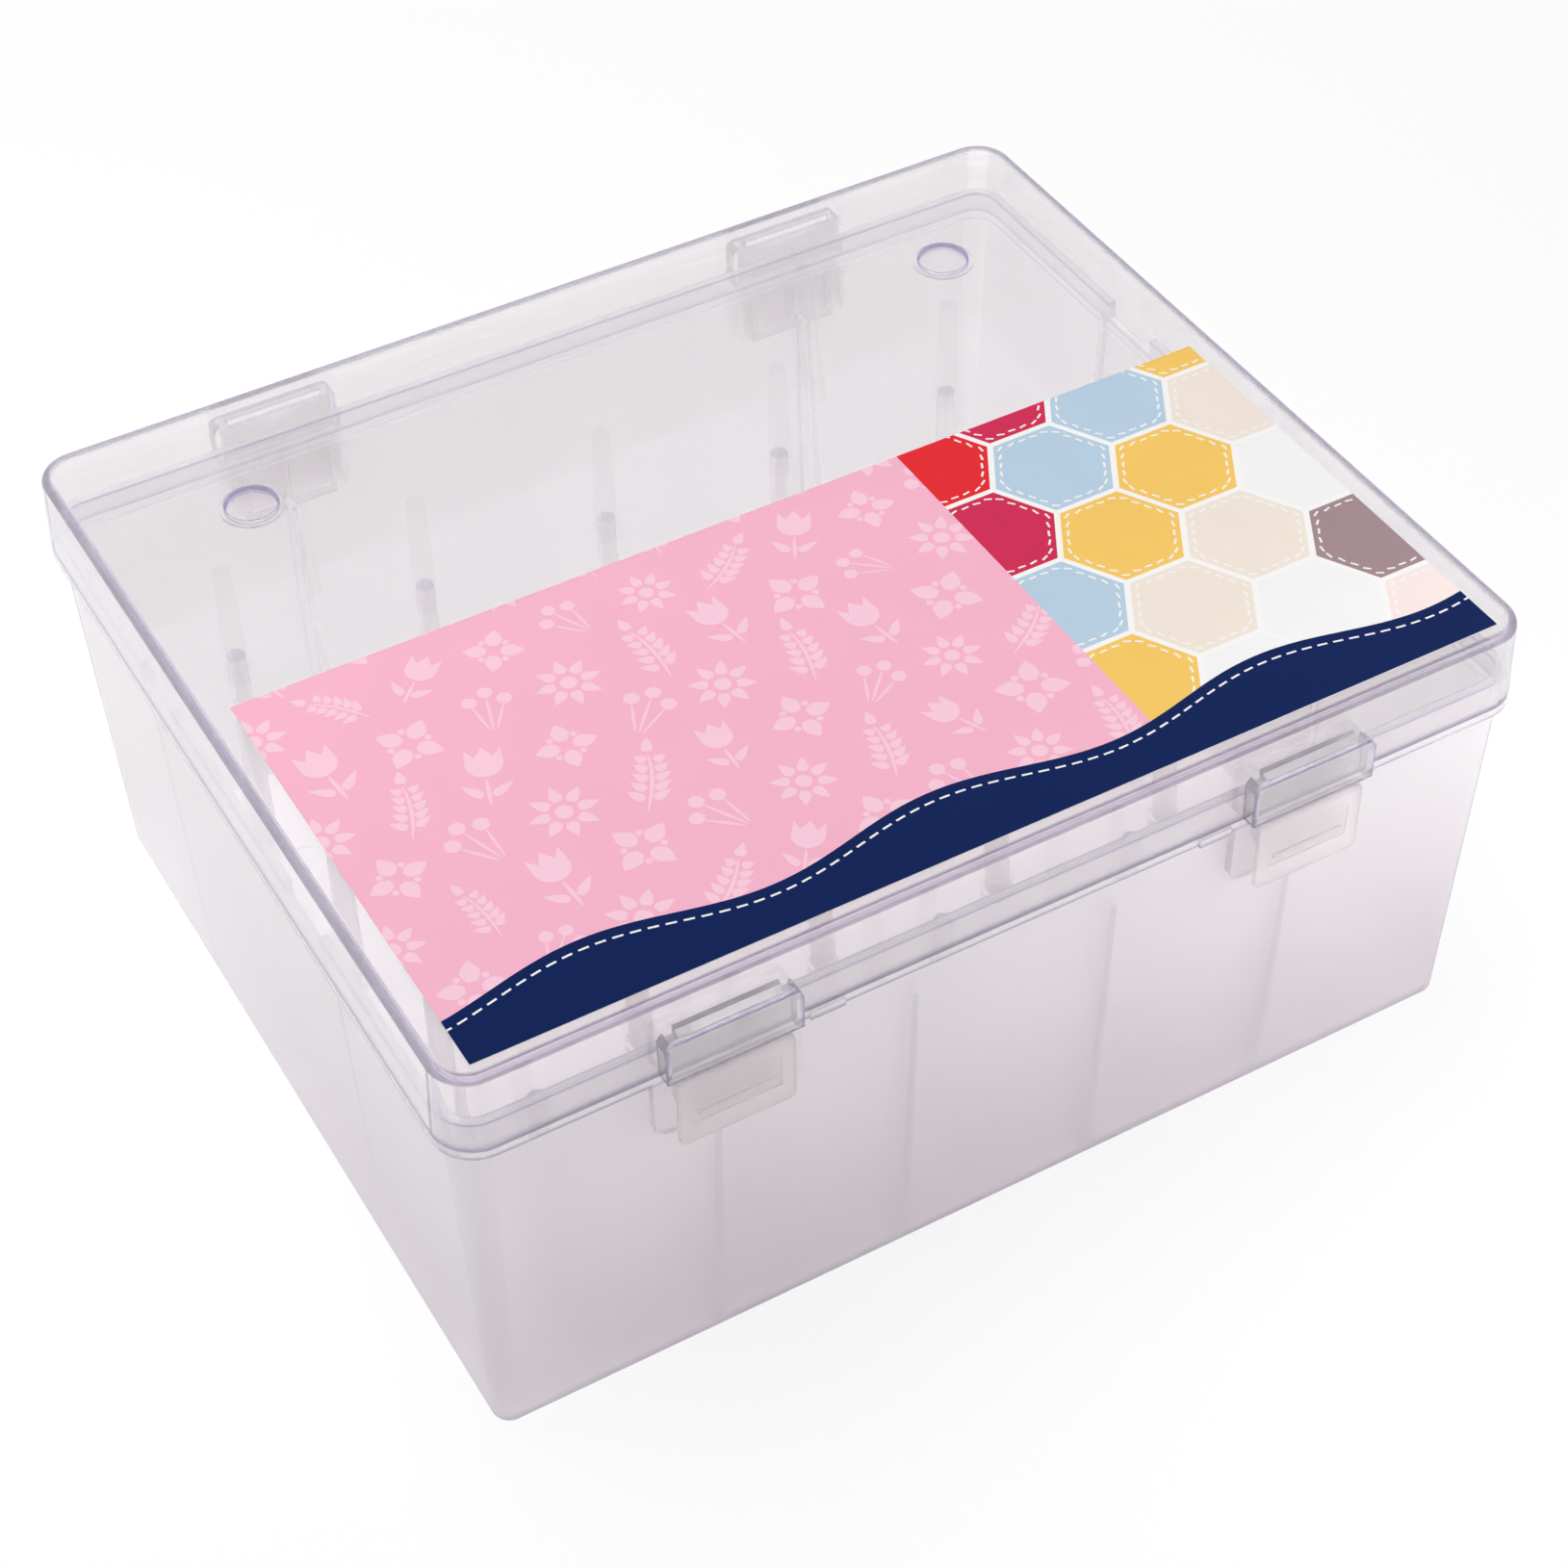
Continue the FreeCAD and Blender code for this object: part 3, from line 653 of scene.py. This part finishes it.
class CardSettings(PropertyGroup):
    field: FloatVectorProperty(
        name="Field", description="Main colour of the card", subtype="COLOR", size=3,
        min=0.0, max=1.0, default=(0.885, 0.445, 0.578))
    motif: FloatVectorProperty(
        name="Motifs", description="Colour of the scattered motifs", subtype="COLOR", size=3,
        min=0.0, max=1.0, default=(0.910, 0.582, 0.695))
    band: FloatVectorProperty(
        name="Band", description="Colour of the waved band", subtype="COLOR", size=3,
        min=0.0, max=1.0, default=(0.001, 0.012, 0.082))
    paper: FloatVectorProperty(
        name="Paper", description="Colour of bare card", subtype="COLOR", size=3,
        min=0.0, max=1.0, default=(0.90, 0.89, 0.88))
    divider: FloatProperty(
        name="Divider", description="Where the field ends and the patchwork begins, along X",
        unit="LENGTH", default=47.0 * MM)
    band_height: FloatProperty(
        name="Band height", description="Mean height of the band",
        unit="LENGTH", default=17.0 * MM)
    wave_rise: FloatProperty(
        name="Wave rise", description="Rise of the band's waves", unit="LENGTH", default=3.6 * MM)
    wave_length: FloatProperty(
        name="Wave length", description="Length of one wave", unit="LENGTH", default=92.0 * MM)
    stitch: FloatProperty(
        name="Stitch", description="Length of a printed stitch", unit="LENGTH", default=2.6 * MM)
    stitch_gap: FloatProperty(
        name="Stitch gap", description="Gap between stitches", unit="LENGTH", default=1.5 * MM)
    stitch_inset: FloatProperty(
        name="Stitch inset", description="From the band's edge to its stitches",
        unit="LENGTH", default=3.0 * MM)
    motif_pitch: FloatProperty(
        name="Motif pitch", description="Distance between motifs",
        unit="LENGTH", default=21.0 * MM)
    patch: FloatProperty(
        name="Patch", description="Radius of a patch over its corners", unit="LENGTH",
        default=17.2 * MM)
    patch_gap: FloatProperty(
        name="Patch gap", description="Gap between patches", unit="LENGTH", default=0.9 * MM)
    seed: IntProperty(
        name="Seed", description="Picks the turn and order of the motifs", default=4, min=0)


class StudioSettings(PropertyGroup):
    lens: FloatProperty(
        name="Lens", description="Focal length of the camera on a 36 mm sensor",
        subtype="DISTANCE_CAMERA", default=76.33)
    stand: FloatVectorProperty(
        name="Stand", description="Place of the camera", subtype="TRANSLATION", size=3,
        unit="LENGTH", default=(-0.3061, -0.5600, 0.6723))
    aim: FloatVectorProperty(
        name="Aim", description="Azimuth, elevation and roll of the camera in degrees",
        size=3, default=(-29.131, 44.332, -1.072))
    key: FloatProperty(
        name="Key light", description="Power of the main lamp", unit="POWER", default=30.5)
    fill: FloatProperty(
        name="Fill light", description="Power of the second lamp", unit="POWER", default=0.45)
    side: FloatProperty(
        name="Side light", description="Power of the lamp on the left", unit="POWER", default=0.98)
    sky: FloatProperty(
        name="Sky", description="Strength of the even light from all round", default=0.28)
    glow: FloatProperty(
        name="Floor glow", description="Share of plain white in the floor as it is seen",
        subtype="FACTOR", default=0.82, min=0.0, max=1.0)
    glow_through: FloatProperty(
        name="Glow through", description="The same share as it is seen through clear plastic",
        subtype="FACTOR", default=0.2, min=0.0, max=1.0)


# Clear pieces

class SPOOLBOX_OT_tub(Operator):
    """Finish the tub: satin walls under a polished rim"""
    bl_idname = "spoolbox.tub"
    bl_label = "Finish Tub"

    def execute(self, context):
        look = context.scene.spool_finish
        dress(["base_box"], clear_plastic("clear_tub", look, tub_colour, look.lid_gloss,
                                          look.tub_haze, satin=look.tub_satin))
        return {"FINISHED"}


class SPOOLBOX_OT_lid(Operator):
    """Finish the lid in polished clear plastic"""
    bl_idname = "spoolbox.lid"
    bl_label = "Finish Lid"

    def execute(self, context):
        look = context.scene.spool_finish
        dress(["lid_shell"], clear_plastic("clear_lid", look, lid_colour, look.lid_gloss,
                                           look.lid_haze, bend=lid_bend))
        return {"FINISHED"}


class SPOOLBOX_OT_pegs(Operator):
    """Finish the pegs in clear plastic"""
    bl_idname = "spoolbox.pegs"
    bl_label = "Finish Pegs"

    def execute(self, context):
        look = context.scene.spool_finish
        dress(PEGS, clear_plastic("clear_peg", look, peg_colour, look.peg_gloss,
                                  look.peg_haze))
        return {"FINISHED"}


class SPOOLBOX_OT_inserts(Operator):
    """Finish the hinge inserts, latch inserts and latch flaps"""
    bl_idname = "spoolbox.inserts"
    bl_label = "Finish Inserts"

    def execute(self, context):
        look = context.scene.spool_finish
        dress(FLAPS, natural_plastic("natural_flap", look, look.insert_body))
        dress(INSERTS, natural_plastic("natural_insert", look, look.leaf_body))
        return {"FINISHED"}


# Card

# Heights of the printed card: a hair over the lid, then the board, then thin layers of ink
CARD_LIFT = 0.01 * MM
BOARD_TOP = CARD_HIGH.z - 0.09 * MM
INK = 0.03 * MM

# Sizes, turns and colours of the printed design
STITCH_WIDTH = 0.55 * MM
STITCH_COLOUR = (0.88, 0.87, 0.87)
PATCH_STITCH_INSET = 1.9 * MM
PATCH_COLUMNS, PATCH_ROWS = 5, 6
MOTIF_TURN = 0.9
MOTIF_SIZES = (0.9, 1.12)
MOTIF_ROW = 0.92
WAVE_START = 0.9
PATCH_COLOURS = (
    (0.74, 0.024, 0.032), (0.88, 0.56, 0.13), (0.35, 0.245, 0.26), (0.60, 0.027, 0.090),
    (0.84, 0.75, 0.66), (0.90, 0.76, 0.745), (0.46, 0.60, 0.73), (0.87, 0.865, 0.87))


def petal(length, width, turn, start, at=(0.0, 0.0), steps=14, bluntness=0.62):
    """Outline of a petal or leaf that leaves a centre in one direction."""
    ring = []
    for k in range(2 * steps):
        t = k / steps
        along = t if t <= 1 else 2 - t
        side = 1 if t <= 1 else -1
        half = width / 2 * math.sin(math.pi * along ** bluntness)
        ring.append((start + length * along, side * half))
    c, s = math.cos(turn), math.sin(turn)
    return [(at[0] + c * x - s * y, at[1] + s * x + c * y) for x, y in ring[1:]]


def disc(radius, at=(0.0, 0.0), steps=20):
    turns = [2 * math.pi * k / steps for k in range(steps)]
    return [(at[0] + radius * math.cos(a), at[1] + radius * math.sin(a)) for a in turns]


def stroke(points, width):
    """Outline of a drawn line that narrows to both ends."""
    left, right = [], []
    for k, (x, y) in enumerate(points):
        a = points[max(k - 1, 0)]
        b = points[min(k + 1, len(points) - 1)]
        dx, dy = b[0] - a[0], b[1] - a[1]
        size = math.hypot(dx, dy)
        half = width / 2 * (0.35 + 0.65 * math.sin(math.pi * k / (len(points) - 1)))
        left.append((x - dy / size * half, y + dx / size * half))
        right.append((x + dy / size * half, y - dx / size * half))
    return left + right[::-1]


def daisy():
    rings = [petal(5.4, 3.0, 2 * math.pi * k / 8, 3.0) for k in range(8)]
    return rings + [disc(2.1)]


def sprig():
    stem = [(1.6 * math.sin(t * 2.4), -9.5 + 17.0 * t) for t in [k / 12 for k in range(13)]]
    rings = [stroke(stem, 0.9)]
    for k in (2, 4, 6, 8, 10):
        x, y = stem[k]
        for side in (-1, 1):
            rings.append(petal(5.2 - 0.2 * k, 2.3, math.pi / 2 - side * 0.95, 1.0, (x, y)))
    rings.append(petal(4.6, 2.6, math.pi / 2, 0.5, stem[-1]))
    return rings


def tulip():
    cup = [(4.2 * math.sin(a), 4.4 - 4.2 * math.cos(a)) for a in
           [math.pi * (k / 12 - 0.5) for k in range(13)]]
    rings = [cup + [(4.0, 9.0), (2.0, 6.4), (0.0, 9.6), (-2.0, 6.4), (-4.0, 9.0)]]
    stem = [(0.25 * math.sin(t), -0.5 - 8.0 * t) for t in [k / 8 for k in range(9)]]
    rings.append(stroke(stem, 1.0))
    rings.append(petal(6.4, 2.4, math.pi * 0.22, 1.1, (0.0, -6.6)))
    rings.append(petal(6.4, 2.4, math.pi * 0.78, 1.1, (0.0, -6.6)))
    return rings


def quilt_star():
    rings = [petal(7.2, 4.6, math.pi * k / 2, 1.2, bluntness=0.9, steps=10) for k in range(4)]
    return rings + [disc(0.9, (4.6 * math.cos(a), 4.6 * math.sin(a)), 12)
                    for a in [math.pi / 4 + math.pi * k / 2 for k in range(4)]]


def berries():
    rings = []
    for k, turn in enumerate((-0.7, 0.0, 0.7)):
        length = 7.5 if k == 1 else 6.0
        tip = (length * math.sin(turn), length * math.cos(turn) - 2.0)
        foot = (k - 1) * 0.8
        rings.append(stroke([(foot + (tip[0] - foot) * t, -6.0 + (tip[1] + 6.0) * t)
                             for t in [j / 6 for j in range(7)]], 0.8))
        rings.append(disc(1.9, (tip[0] * 1.12, tip[1] + 1.9)))
    return rings


MOTIFS = {"daisy": daisy, "sprig": sprig, "tulip": tulip, "star": quilt_star, "berries": berries}


def wave(card, x):
    """Height of the band's edge over the card's front edge."""
    turn = 2 * math.pi * (x - CARD_LOW.x) / card.wave_length
    return card.band_height + card.wave_rise * math.sin(turn - WAVE_START)


def wave_points(card, drop, count=120):
    step = (CARD_HIGH.x - CARD_LOW.x) / count
    for k in range(count + 1):
        x = CARD_LOW.x + k * step
        yield x, CARD_LOW.y + wave(card, x) - drop


def print_layer(name, piece, material, level):
    """Stacks a flat piece on the card as printed layer number level."""
    piece.name = name
    layer(piece, BOARD_TOP - INK / 3, BOARD_TOP + INK * level)
    piece.data.materials.clear()
    piece.data.materials.append(material)
    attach(piece, "lid")


def scatter_motifs(card, material):
    """Turns and scatters the motifs over the field in staggered rows."""
    group = bpy.data.collections.new("card_motifs")
    for k, (label, draw) in enumerate(MOTIFS.items()):
        rings = [[(x * MM, y * MM) for x, y in ring] for ring in draw()]
        group.objects.link(bpy.data.objects.new("%d_%s" % (k, label), flat_mesh(label, rings)))
    width = card.divider - CARD_LOW.x
    depth = CARD_HIGH.y - CARD_LOW.y
    columns = int(width / card.motif_pitch) + 3
    rows = int(depth / card.motif_pitch) + 3
    tree = Growth("Motif Scatter", {
        "Motifs": group, "Pitch": card.motif_pitch, "Columns": columns, "Rows": rows,
        "Seed": card.seed, "Left": CARD_LOW.x - card.motif_pitch, "Front": CARD_LOW.y,
        "Ink": material})
    columns, pitch, seed = tree.given("Columns"), tree.given("Pitch"), tree.given("Seed")
    count = columns * tree.given("Rows")
    points = tree.add("GeometryNodePoints", inputs={"Count": count})
    index = tree.add("GeometryNodeInputIndex")
    row = (index / columns).floor()
    column = index.modulo(columns)
    shift = row.modulo(2.0) * 0.5
    place = tree.add("ShaderNodeCombineXYZ", inputs={
        "X": tree.given("Left") + pitch * (column + shift),
        "Y": tree.given("Front") + pitch * row * MOTIF_ROW})
    points = tree.add("GeometryNodeSetPosition", inputs={0: points, "Position": place})
    pool = tree.add("GeometryNodeCollectionInfo", inputs={
        0: tree.given("Motifs"), "Separate Children": True, "Reset Children": True})
    turn = tree.add("FunctionNodeRandomValue", {"data_type": "FLOAT"},
                    {2: -MOTIF_TURN, 3: MOTIF_TURN, "Seed": seed}, 1)
    size = tree.add("FunctionNodeRandomValue", {"data_type": "FLOAT"},
                    {2: MOTIF_SIZES[0], 3: MOTIF_SIZES[1], "Seed": seed + 1}, 1)
    kind = (column + row * 2.0 + (row / 3.0).floor()).modulo(float(len(MOTIFS)))
    placed = tree.add("GeometryNodeInstanceOnPoints", inputs={
        "Points": points, "Instance": pool, "Pick Instance": True, "Instance Index": kind,
        "Rotation": tree.add("ShaderNodeCombineXYZ", inputs={"Z": turn}), "Scale": size})
    piece = tree.grow("card_motif_print", placed, tree.given("Ink"))
    trim_flat(piece.data, (CARD_LOW.x, CARD_LOW.y), (card.divider, CARD_HIGH.y))
    return piece


def patch_points(tree):
    """Staggered places for six-sided patches that meet along their sides."""
    columns, step = tree.given("Columns"), tree.given("Radius") + tree.given("Gap")
    index = tree.add("GeometryNodeInputIndex")
    row = (index / columns).floor()
    column = index.modulo(columns)
    place = tree.add("ShaderNodeCombineXYZ", inputs={
        "X": tree.given("Left") + 1.5 * step * column,
        "Y": tree.given("Front") + math.sqrt(3.0) * step * (row + 0.5 * column.modulo(2.0))})
    count = columns * tree.given("Rows")
    points = tree.add("GeometryNodePoints", inputs={"Count": count})
    return tree.add("GeometryNodeSetPosition", inputs={0: points, "Position": place})


def patch_inputs(card, material):
    """Values that the patches and their stitches share."""
    return {"Radius": card.patch, "Gap": card.patch_gap, "Columns": PATCH_COLUMNS,
            "Rows": PATCH_ROWS, "Left": card.divider + 5 * MM, "Front": CARD_LOW.y - 4 * MM,
            "Seed": card.seed, "Ink": material}


def grow_patches(card, material):
    """Six-sided patches, each with its own colour from a fixed set."""
    tree = Growth("Patches", patch_inputs(card, material))
    face = tree.add("GeometryNodeMeshCircle", {"fill_type": "NGON"},
                    {"Vertices": 6, "Radius": tree.given("Radius")})
    points = patch_points(tree)
    index = tree.add("GeometryNodeInputIndex")
    row = (index / tree.given("Columns")).floor()
    column = index.modulo(tree.given("Columns"))
    pick = (column * 3.0 + row * 5.0 + tree.given("Seed")).modulo(float(len(PATCH_COLOURS)))
    stops = [(k / len(PATCH_COLOURS), (*c, 1.0)) for k, c in enumerate(PATCH_COLOURS)]
    tone = tree.add("ShaderNodeValToRGB", {"interpolation": "CONSTANT", "stops": stops},
                    {0: (pick + 0.5) / float(len(PATCH_COLOURS))})
    points = tree.add("GeometryNodeStoreNamedAttribute",
                      {"data_type": "FLOAT_COLOR", "domain": "POINT"},
                      {0: points, "Name": "patch_colour", "Value": tone})
    placed = tree.add("GeometryNodeInstanceOnPoints", inputs={"Points": points, "Instance": face})
    piece = tree.grow("card_patches", placed, tree.given("Ink"))
    trim_flat(piece.data, (card.divider, CARD_LOW.y), (CARD_HIGH.x, CARD_HIGH.y))
    return piece


def grow_patch_stitches(card, material):
    """Short stitches along the inside of every patch."""
    inputs = patch_inputs(card, material)
    inputs["Stitch"] = card.stitch * 0.8
    inputs["Pitch"] = (card.stitch + card.stitch_gap) * 0.85
    tree = Growth("Patch Stitches", inputs)
    ring = tree.add("GeometryNodeCurvePrimitiveCircle", {"mode": "RADIUS"},
                    {"Resolution": 6, "Radius": tree.given("Radius") - PATCH_STITCH_INSET})
    dashes = stitch_along(tree, ring)
    placed = tree.add("GeometryNodeInstanceOnPoints",
                      inputs={"Points": patch_points(tree), "Instance": dashes})
    piece = tree.grow("card_patch_stitches", placed, tree.given("Ink"))
    trim_flat(piece.data, (card.divider, CARD_LOW.y), (CARD_HIGH.x, CARD_HIGH.y))
    return piece


def stitch_along(tree, curve):
    """Flat stitches at an even pitch along a curve, turned to follow it."""
    spots = tree.add("GeometryNodeCurveToPoints", {"mode": "LENGTH"},
                     {"Curve": curve, "Length": tree.given("Pitch")})
    bar = tree.add("GeometryNodeMeshGrid", inputs={
        "Size X": STITCH_WIDTH, "Size Y": tree.given("Stitch"),
        "Vertices X": 2, "Vertices Y": 2})
    tangent = spots.socket.node.outputs["Tangent"]
    flat_turn = tree.add("FunctionNodeAlignRotationToVector", {"axis": "Y", "pivot_axis": "Z"},
                         {"Vector": Term(tree, tangent)})
    return tree.add("GeometryNodeInstanceOnPoints",
                    inputs={"Points": spots, "Instance": bar, "Rotation": flat_turn})


def grow_band_stitches(card, material):
    """One row of stitches along the waved band."""
    line = bpy.data.curves.new("band_line", "CURVE")
    line.dimensions = "3D"
    points = list(wave_points(card, card.stitch_inset))
    spline = line.splines.new("POLY")
    spline.points.add(len(points) - 1)
    for spot, (x, y) in zip(spline.points, points):
        spot.co = (x, y, 0.0, 1.0)
    guide = new_piece("band_line", line)
    tree = Growth("Band Stitches", {
        "Line": guide, "Stitch": card.stitch, "Pitch": card.stitch + card.stitch_gap,
        "Ink": material})
    curve = tree.add("GeometryNodeObjectInfo", inputs={0: tree.given("Line")}, output="Geometry")
    piece = tree.grow("card_band_stitches", stitch_along(tree, curve), tree.given("Ink"))
    bpy.data.objects.remove(guide)
    trim_flat(piece.data, (CARD_LOW.x, CARD_LOW.y), (CARD_HIGH.x, CARD_HIGH.y))
    return piece


class SPOOLBOX_OT_card(Operator):
    """Print the card: a field of motifs, a patchwork and a stitched band"""
    bl_idname = "spoolbox.card"
    bl_label = "Print Card"

    def execute(self, context):
        card = context.scene.spool_card
        low, high = CARD_LOW, CARD_HIGH
        board = new_piece("printed_card", flat_mesh("printed_card", [
            [(low.x, low.y), (high.x, low.y), (high.x, high.y), (low.x, high.y)]]))
        layer(board, low.z + CARD_LIFT, BOARD_TOP)
        board.data.materials.append(card_ink("card_paper", card.paper))
        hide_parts("label_card")
        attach(board, "lid")
        field = new_piece("card_field", flat_mesh("card_field", [
            [(low.x, low.y), (card.divider, low.y), (card.divider, high.y), (low.x, high.y)]]))
        print_layer("card_field", field, card_ink("ink_field", card.field), 1.0)
        motif_ink = card_ink("ink_motif", card.motif)
        print_layer("card_motif_print", scatter_motifs(card, motif_ink), motif_ink, 1.5)
        patch_ink = card_ink("ink_patch", "patch_colour", 0.06)
        print_layer("card_patches", grow_patches(card, patch_ink), patch_ink, 1.0)
        thread = card_ink("ink_stitch", STITCH_COLOUR)
        print_layer("card_patch_stitches", grow_patch_stitches(card, thread), thread, 1.4)
        outline = [(low.x, low.y), (high.x, low.y), *reversed(list(wave_points(card, 0.0)))]
        waved = new_piece("card_band", flat_mesh("card_band", [outline]))
        print_layer("card_band", waved, card_ink("ink_band", card.band), 2.2)
        print_layer("card_band_stitches", grow_band_stitches(card, thread), thread, 2.8)
        return {"FINISHED"}


# Studio

FLOOR_HALF = 6.0
LAMP_AIM = Vector((0.0, 0.0, 0.08))
LAMPS = {"key": ((-0.4, 0.5, 2.0), 1.5), "fill": ((0.24, -0.27, 0.16), 0.2),
         "side": ((-0.40, 0.32, 0.22), 0.25)}  # place and size


class SPOOLBOX_OT_stage(Operator):
    """Set the floor, the sky, the lamps and the camera"""
    bl_idname = "spoolbox.stage"
    bl_label = "Set Stage"

    def execute(self, context):
        studio = context.scene.spool_studio
        self.floor(studio)
        self.sky(context.scene, studio)
        for name, (place, size) in LAMPS.items():
            self.lamp(name, place, size, getattr(studio, name))
        self.camera(context.scene, studio)
        context.scene.view_settings.view_transform = "Standard"
        return {"FINISHED"}

    def seen(self, graph, straight=1.0, through=1.0):
        """Weights of rays that see the backdrop straight or mirrored, or through plastic."""
        camera = graph.add("ShaderNodeLightPath", output="Is Camera Ray")
        outputs = camera.socket.node.outputs
        mirrored = Term(graph, outputs["Is Glossy Ray"])
        passed = Term(graph, outputs["Is Transmission Ray"])
        return (camera.most(mirrored) * straight).most(passed * through)

    def floor(self, studio):
        bm = bmesh.new()
        bmesh.ops.create_grid(bm, x_segments=1, y_segments=1, size=FLOOR_HALF)
        mesh = bpy.data.meshes.new("floor")
        bm.to_mesh(mesh)
        bm.free()
        finish = Finish("pale_floor")
        mottle = finish.noise(3.0)
        matt = finish.add("ShaderNodeBsdfDiffuse", inputs={
            "Color": finish.mix(mottle, (0.91, 0.91, 0.91, 1.0), (0.94, 0.94, 0.94, 1.0))})
        white = finish.add("ShaderNodeEmission", inputs={"Color": (1.0, 1.0, 1.0, 1.0)})
        shader = finish.add("ShaderNodeMixShader", inputs={
            0: self.seen(finish, studio.glow, studio.glow_through), 1: matt, 2: white})
        mesh.materials.append(finish.surface(shader))
        new_piece("floor", mesh)

    def sky(self, scene, studio):
        world = bpy.data.worlds.new("studio_sky")
        world.use_nodes = True
        graph = Graph(world.node_tree)
        world.node_tree.nodes.clear()
        white = graph.add("ShaderNodeBackground", inputs={
            "Color": (1.0, 1.0, 1.0, 1.0), "Strength": 1.0})
        light = graph.add("ShaderNodeBackground", inputs={
            "Color": (1.0, 0.99, 0.985, 1.0), "Strength": studio.sky})
        both = graph.add("ShaderNodeMixShader", inputs={0: self.seen(graph), 1: light, 2: white})
        graph.add("ShaderNodeOutputWorld", inputs={"Surface": both})
        scene.world = world

    def lamp(self, name, place, size, power):
        data = bpy.data.lights.new(name, "AREA")
        data.shape = "DISK"
        data.size = size
        data.energy = power
        lamp = bpy.data.objects.new(name, data)
        bpy.context.scene.collection.objects.link(lamp)
        lamp.location = place
        lamp.visible_camera = False
        lamp.visible_transmission = False
        lamp.visible_glossy = False
        aim = LAMP_AIM - Vector(place)
        lamp.rotation_euler = aim.to_track_quat("-Z", "Y").to_euler()

    def camera(self, scene, studio):
        azimuth, elevation, roll = (math.radians(a) for a in studio.aim)
        ahead = Vector((-math.sin(azimuth) * math.cos(elevation),
                        math.cos(azimuth) * math.cos(elevation), -math.sin(elevation)))
        right = ahead.cross(Vector((0.0, 0.0, 1.0))).normalized()
        up = right.cross(ahead)
        right, up = (math.cos(roll) * right + math.sin(roll) * up,
                     math.cos(roll) * up - math.sin(roll) * right)
        data = bpy.data.cameras.new("camera")
        data.sensor_width = 36.0
        data.lens = studio.lens
        data.clip_end = 50.0
        camera = bpy.data.objects.new("camera", data)
        scene.collection.objects.link(camera)
        turn = Matrix((right, up, -ahead)).transposed().to_4x4()
        camera.matrix_world = Matrix.Translation(studio.stand) @ turn
        scene.camera = camera


OPERATORS = (SPOOLBOX_OT_tub, SPOOLBOX_OT_lid, SPOOLBOX_OT_pegs, SPOOLBOX_OT_inserts,
             SPOOLBOX_OT_card, SPOOLBOX_OT_stage)


class SPOOLBOX_PT_sidebar(Panel):
    bl_idname = "SPOOLBOX_PT_sidebar"
    bl_label = "Thread Spool Box"
    bl_space_type = "VIEW_3D"
    bl_region_type = "UI"
    bl_category = "Spool Box"

    def draw(self, context):
        for operator in OPERATORS:
            self.layout.operator(operator.bl_idname)
        for group in SETTINGS:
            box = self.layout.box()
            settings = getattr(context.scene, group)
            for name in settings.__annotations__:
                box.prop(settings, name)


SETTINGS = {"spool_finish": FinishSettings, "spool_card": CardSettings,
            "spool_studio": StudioSettings}
CLASSES = (*SETTINGS.values(), *OPERATORS, SPOOLBOX_PT_sidebar)


def register():
    for cls in CLASSES:
        bpy.utils.register_class(cls)
    for name, cls in SETTINGS.items():
        setattr(bpy.types.Scene, name, PointerProperty(type=cls))


def unregister():
    for name in SETTINGS:
        delattr(bpy.types.Scene, name)
    for cls in reversed(CLASSES):
        bpy.utils.unregister_class(cls)


def main():
    register()
    bpy.ops.spoolbox.tub()
    bpy.ops.spoolbox.lid()
    bpy.ops.spoolbox.pegs()
    bpy.ops.spoolbox.inserts()
    bpy.ops.spoolbox.card()
    bpy.ops.spoolbox.stage()


if __name__ == "__main__":
    main()
